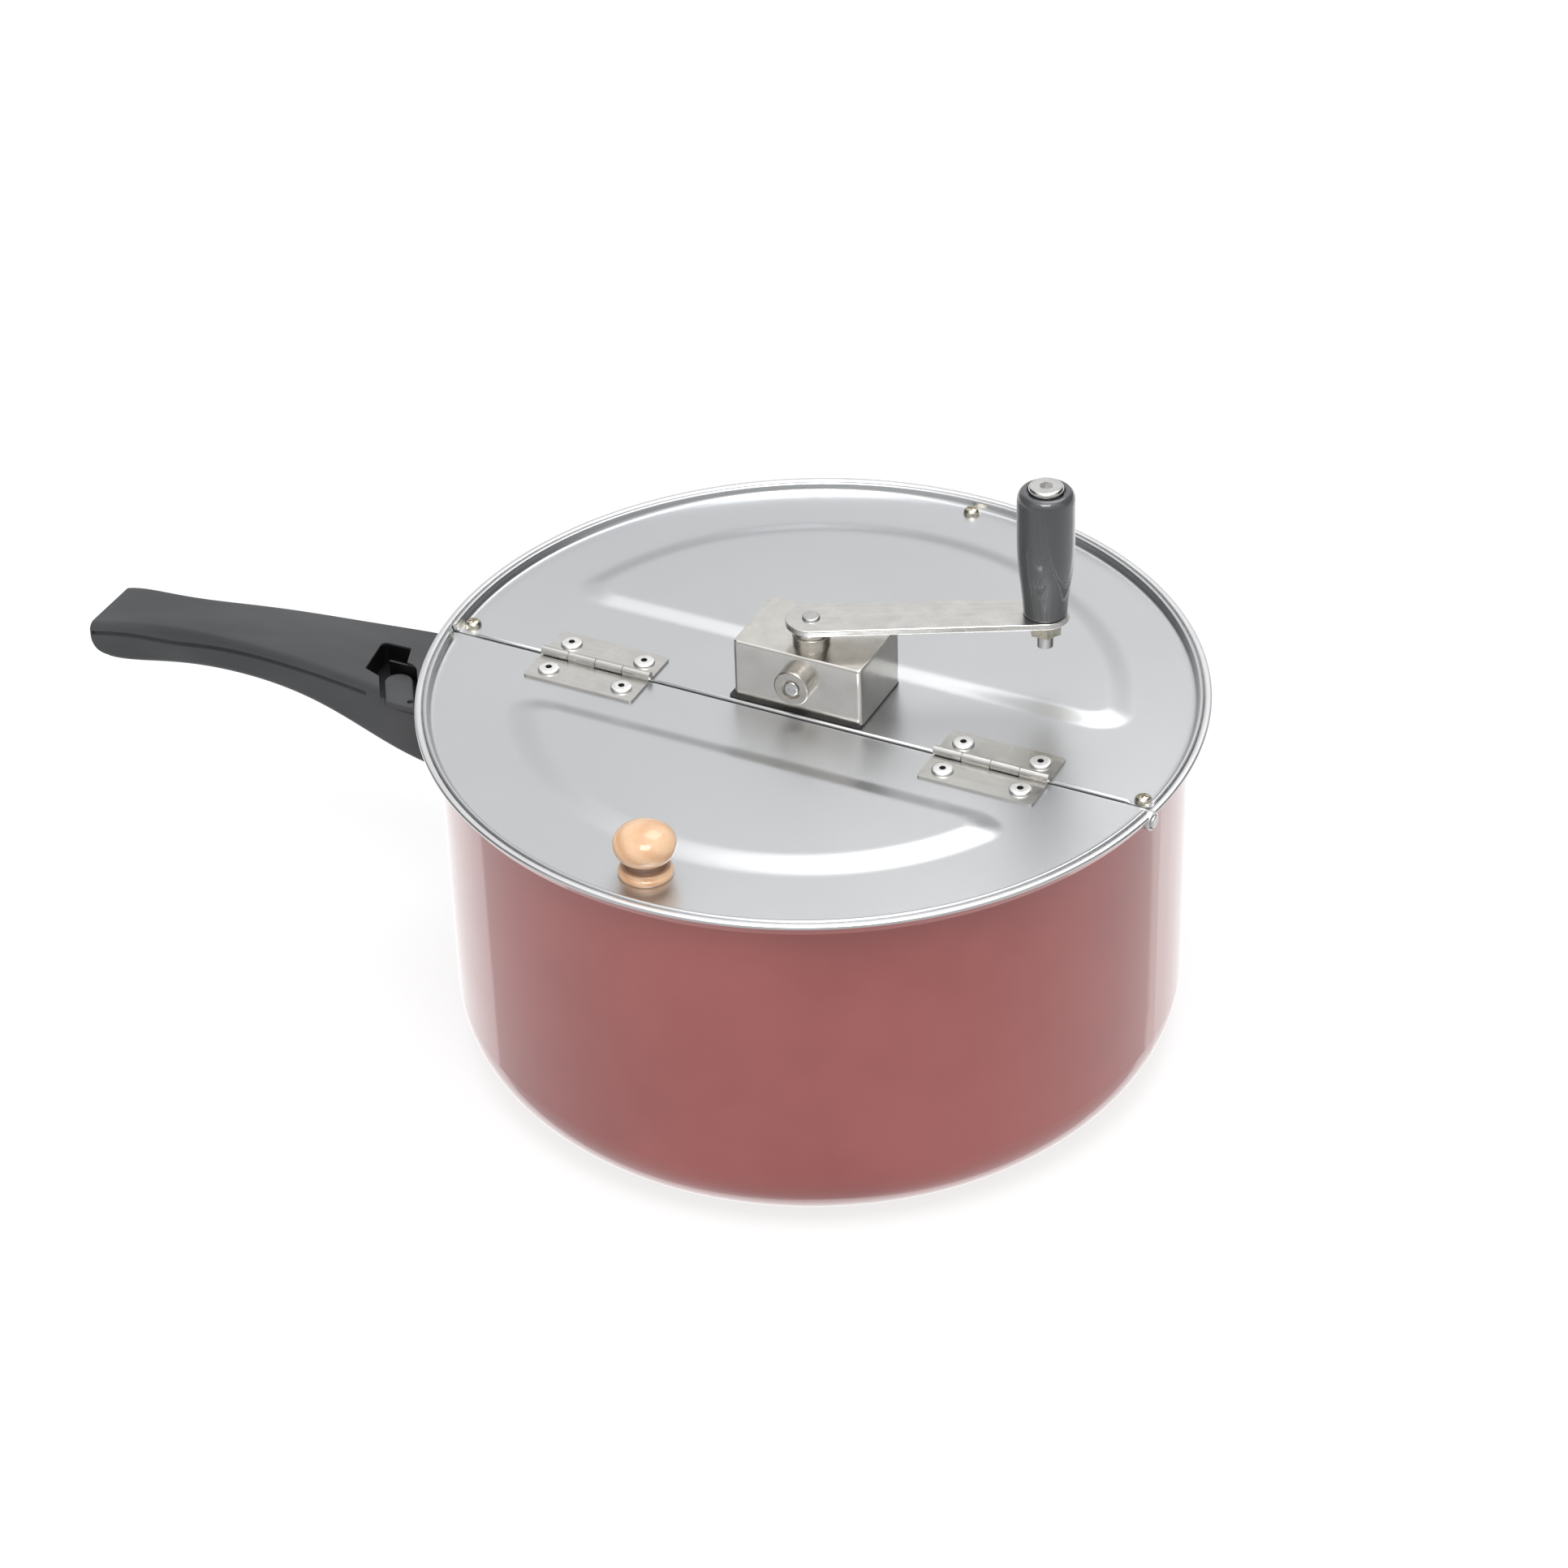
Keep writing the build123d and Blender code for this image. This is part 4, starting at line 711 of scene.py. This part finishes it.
# the grip swells from a narrow foot to a straight upper part with a rounded, sunk end
grip_low = arm_top + 0.0001
grip_bore, grip_side, side_low, side_high = 0.00308, 0.00939, 0.0008, 0.0425
grip_section = [(grip_bore, 0.0), (0.0069, 0.0), (0.0072, 0.0003)]
grip_waist = ((0.0, 0.0072), (0.005, 0.00755), (0.010, 0.00808), (0.015, 0.00868), (0.0185, 0.00903),
              (0.0225, 0.00927), (0.027, 0.00938), (0.034, 0.00941), (side_high, grip_side))
waist_heights, waist_radii = zip(*grip_waist)
grip_section += [
    (float(np.interp(h, waist_heights, waist_radii)), float(h))
    for h in np.linspace(side_low, side_high, 30)
]
shoulder_start, shoulder_width, shoulder_rise = 0.0429, 0.0025, 0.0032
grip_section += [
    (grip_side - shoulder_width * (1 - cos(t)), shoulder_start + shoulder_rise * sin(t))
    for t in np.linspace(0.12, pi / 2, 9)
]
recess_radius, recess_floor = 0.0063, 0.0448
grip_section += [(recess_radius, 0.0460), (recess_radius - 0.0001, 0.0452),
                 (recess_radius - 0.0002, recess_floor), (grip_bore, recess_floor)]
shape = bmesh.new()
turn(shape, [(r, grip_low + h) for r, h in grip_section], grip_centre, steps=128, closed=True)
grip_plastic = Finish(
    "grip_plastic", Metallic=0.0, Coat_Weight=1.0, Coat_Roughness=0.06, Coat_IOR=1.55
)
flow = grip_plastic.place.scaled(40.0, 40.0, 12.0).noise(1.0, 3.0)
skin = grip_plastic.place.noise(1500.0, 2.0)
grip_tone = flow.ramp(0.3, 0.7).blend(tint(0.060, 0.063, 0.067), tint(0.080, 0.083, 0.088))
grip_plastic.give("Base Color", grip_tone)
grip_plastic.give("Roughness", skin.ramp(0.3, 0.7, 0.30, 0.40))
grip_plastic.bump(skin, 0.00002, 0.25)
add_piece("turned_grip", mesh_of("turned_grip", shape, 40.0), grip_plastic, "grip", "grip_plastic",
          "crank_grip")

# ---- Gears and stirrer -------------------------------------------------------------
# Sintered mitre gears in the box turn the stirrer's shaft. Under the lid a hub with a set
# screw carries two plated wire arms that sweep the pot's floor.

sintered = Finish("gear_steel", Metallic=1.0)
pits = sintered.place.noise(1800.0, 3.0, 0.6)
gear_tone = pits.ramp(0.3, 0.7).blend(tint(0.30, 0.30, 0.30), tint(0.50, 0.49, 0.48))
sintered.give("Base Color", gear_tone)
sintered.give("Roughness", pits.ramp(0.2, 0.8, 0.42, 0.6))
sintered.bump(pits, 0.00006, 0.5)
paint(sintered, "crank_gear", "idler_gear", "stirrer_gear", "stirrer_hub")
drawn_wire = brushed(
    "wire_steel", (0.62, 0.62, 0.62), (0.80, 0.80, 0.79), 0.2, (200.0, 3000.0, 3000.0)
)
paint(drawn_wire, "stirrer_wires")

# ---- Handle ----------------------------------------------------------------------
# Moulded from dark grey phenolic, with a fine matt skin and a groove along the near side.
# It is pushed on a steel bracket riveted to the wall; a small latch plate lies in its root.


def moulded(name, window_shade):
    """Dark moulded plastic with a fine skin; window_shade is how much painted shade, near-black, goes into
    the window's inside.
    """
    finish = Finish(name, Metallic=0.0, Specular_IOR_Level=0.45)
    spark = finish.place.noise(2200.0, 2.0, 0.6)
    haze = finish.place.scaled(14.0, 40.0, 40.0).noise(1.0, 3.0)
    tone = haze.ramp(0.3, 0.7).blend(tint(0.056, 0.059, 0.063), tint(0.082, 0.085, 0.090))
    x, y, z = finish.place.parts()
    beside = y.sum("ABSOLUTE", y + 0.004).ramp(0.0125, 0.0115)
    between = z.ramp(0.0994, 0.0990) * z.ramp(0.0885, 0.0895)
    # painted shade: the walls and floor of the window in the handle's root are painted near-black
    window_shade_mask = between * x.ramp(-0.1715, -0.1705) * beside * window_shade
    finish.give("Base Color", window_shade_mask.blend(tone, tint(0.004, 0.004, 0.004)))
    finish.give("Roughness", spark.ramp(0.25, 0.75, 0.40, 0.52))
    finish.bump(spark, 0.00006, 0.4)
    return finish


# the handle gets the painted shade in its window; the latch below gets none
handle_plastic = moulded("handle_plastic", 1.0)

# the groove's path is felt out on the moulding: a fixed drop below its crown, on the near side
groove_radius, groove_width, groove_drop, groove_sides = 0.0009, 1.2, 0.0037, 10
groove_start, groove_end, crown_y = -0.2749, -0.1600, 0.0115
shape = bmesh.new()
shape.from_mesh(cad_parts["handle"].data)
bmesh.ops.remove_doubles(shape, verts=shape.verts, dist=2e-6)
skin_of_handle = BVHTree.FromBMesh(shape)
handle_mesh = mesh_of("grooved_handle", shape, 35.0)
cutter = bmesh.new()
rings = []
for px in np.linspace(groove_start, groove_end, 58):
    crown = skin_of_handle.ray_cast(Vector((px, crown_y, 0.2)), Vector((0, 0, -1)))[0]
    if crown is None:
        continue
    flank = skin_of_handle.ray_cast(Vector((px, -0.05, crown.z - groove_drop)), Vector((0, 1, 0)))[0]
    if flank is None:
        continue
    rings.append([
        cutter.verts.new((
            px,
            flank.y + groove_radius * groove_width * cos(t),
            flank.z + groove_radius * sin(t),
        ))
        for t in np.linspace(0, 2 * pi, groove_sides, endpoint=False)
    ])
for one, other in zip(rings, rings[1:]):
    for i in range(groove_sides):
        j = (i + 1) % groove_sides
        cutter.faces.new((one[i], one[j], other[j], other[i]))
cutter.faces.new(rings[0])
cutter.faces.new(rings[-1])
carriers = []
groove_mesh = mesh_of("handle_groove", cutter)
for label, mesh in (("handle_solid", handle_mesh), ("handle_groove", groove_mesh)):
    carriers.append(bpy.data.objects.new(label, mesh))
    bpy.context.scene.collection.objects.link(carriers[-1])
groove = carriers[0].modifiers.new("groove", "BOOLEAN")
groove.operation, groove.solver, groove.object = "DIFFERENCE", "EXACT", carriers[1]
graph = bpy.context.evaluated_depsgraph_get()
grooved = bpy.data.meshes.new_from_object(carriers[0].evaluated_get(graph))
for carrier in carriers:
    bpy.data.objects.remove(carrier)
grooved.name = "grooved_handle"
grooved.attributes.remove(grooved.attributes["custom_normal"])
grooved.shade_smooth()
grooved.set_sharp_from_angle(angle=radians(24))
add_piece("grooved_handle", grooved, handle_plastic, "pot", "handle_plastic", "handle")
paint(moulded("latch_plastic", 0.0), "handle_latch")
pressed_steel = brushed(
    "bracket_steel", (0.42, 0.42, 0.42), (0.58, 0.58, 0.57), 0.34, (200.0, 2400.0, 2400.0)
)
paint(pressed_steel, "handle_bracket")

# ---- Studio ----------------------------------------------------------------------
# A pale floor and a white surround, one large soft lamp behind and above, and a fill in
# front. The camera stands where the photograph was taken from.

view_azimuth, view_elevation, view_roll = radians(26.546), radians(34.557), radians(1.486)
target, distance = Vector((0, 0, 0.120)), 1.6
back = Vector((
    sin(view_azimuth) * cos(view_elevation),
    -cos(view_azimuth) * cos(view_elevation),
    sin(view_elevation),
))
right = Vector((cos(view_azimuth), sin(view_azimuth), 0))
up = back.cross(right)
rolled_right = right * cos(view_roll) - up * sin(view_roll)
rolled_up = right * sin(view_roll) + up * cos(view_roll)
camera = bpy.data.objects.new("camera", bpy.data.cameras.new("camera"))
bpy.context.scene.collection.objects.link(camera)
bpy.context.scene.camera = camera
camera.matrix_world = Matrix.Translation(target + back * distance) @ Matrix(
    (rolled_right, rolled_up, back)
).transposed().to_4x4()
camera.data.sensor_width, camera.data.lens = 36.0, 112.1
camera.data.shift_x, camera.data.shift_y = -0.01884, -0.04416
camera.data.clip_start, camera.data.clip_end = 0.05, 50.0

world = bpy.data.worlds.new("studio")
bpy.context.scene.world = world
world.use_nodes = True
sky = Wire(world.node_tree)
rays = sky.node("ShaderNodeLightPath", {}, {}).socket.node.outputs
seen = Wire(world.node_tree, rays["Is Camera Ray"])
mirrored = Wire(world.node_tree, rays["Is Glossy Ray"])

# what the shiny pieces mirror: a softly banded room, with a bright ceiling over the pot
direction = sky.node("ShaderNodeTexCoord", {}, {}, "Generated")
dx, dy, dz = direction.parts()
level = (dx * dx + dy * dy) ** 0.5
ahead = (dx * (-sin(view_azimuth)) + dy * cos(view_azimuth)) / (level + 1e-4)
below = ahead.ramp(-0.95, 0.5, 0.5, 0.72) + ahead.ramp(0.57, 0.60, 0.0, 0.5)
above = ahead.ramp(0.66, 0.86, 0.08, 0.76) + ahead.ramp(-0.1, -0.5, 0.0, 0.56)
above = above * dz.ramp(0.02, 0.36, 0.35, 1.0) + dz.ramp(0.74, 0.93, 0.0, 0.9)
around = dz.ramp(-0.02, 0.02).sum("MULTIPLY_ADD", dz.ramp(-0.02, 0.02), above - below, below)

# matt surfaces are lit by an even room, and the camera itself sees plain white
room_light = 0.66
strength = mirrored.sum("MULTIPLY_ADD", mirrored, around - room_light, room_light)
strength = seen.sum("MULTIPLY_ADD", seen, 1.0 - strength, strength)
world.node_tree.links.new(strength.socket, world.node_tree.nodes["Background"].inputs["Strength"])
world.node_tree.nodes["Background"].inputs["Color"].default_value = (1.0, 1.0, 1.0, 1.0)


def soft_lamp(name, azimuth, elevation, away, size, power):
    """A square soft box that faces the pot: azimuth is measured from the camera's own."""
    lamp = bpy.data.objects.new(name, bpy.data.lights.new(name, "AREA"))
    lamp.data.shape, lamp.data.size, lamp.data.energy = "SQUARE", size, power
    bpy.context.scene.collection.objects.link(lamp)
    turn_by = view_azimuth + radians(azimuth)
    rise = radians(elevation)
    towards = Vector((sin(turn_by) * cos(rise), -cos(turn_by) * cos(rise), sin(rise)))
    lamp.location = Vector((0, 0, 0.1)) + towards * away
    lamp.rotation_mode = "QUATERNION"
    lamp.rotation_quaternion = towards.to_track_quat("Z", "Y")


soft_lamp("key", 150.0, 62.0, 1.5, 0.7, 4.0)
soft_lamp("fill", 0.0, 64.0, 1.6, 0.7, 11.0)

floor_mesh = bpy.data.meshes.new("floor")
reach, floor_level = 4.0, -0.0002
floor_corners = ((-reach, -reach), (reach, -reach), (reach, reach), (-reach, reach))
floor_mesh.from_pydata([(px, py, floor_level) for px, py in floor_corners], [], [(0, 1, 2, 3)])
floor = bpy.data.objects.new("floor", floor_mesh)
bpy.context.scene.collection.objects.link(floor)
pale = bpy.data.materials.new("pale_floor")
pale.use_nodes = True
pale.node_tree.nodes.clear()
base = Wire(pale.node_tree)
rays = base.node("ShaderNodeLightPath", {}, {}).socket.node.outputs
seen = Wire(pale.node_tree, rays["Is Camera Ray"])
mirrored = Wire(pale.node_tree, rays["Is Glossy Ray"])
matt = base.node("ShaderNodeBsdfDiffuse", {}, {"Color": (0.8, 0.8, 0.8, 1.0)})
thin = base.node("ShaderNodeBsdfDiffuse", {}, {"Color": (0.3, 0.3, 0.3, 1.0)})
glow = base.node("ShaderNodeEmission", {}, {"Color": (1.0, 1.0, 1.0, 1.0), "Strength": 0.78})
white = base.node("ShaderNodeAddShader", {}, {0: thin, 1: glow})
clear = base.node("ShaderNodeBsdfTransparent", {}, {})
for_camera = base.node("ShaderNodeMixShader", {}, {0: seen, 1: matt, 2: white})
for_all = base.node("ShaderNodeMixShader", {}, {0: mirrored, 1: for_camera, 2: clear})
pale.node_tree.links.new(for_all.socket, pale.node_tree.nodes.new("ShaderNodeOutputMaterial").inputs[0])
floor_mesh.materials.append(pale)

settings = bpy.context.scene.view_settings
settings.view_transform = "Standard"
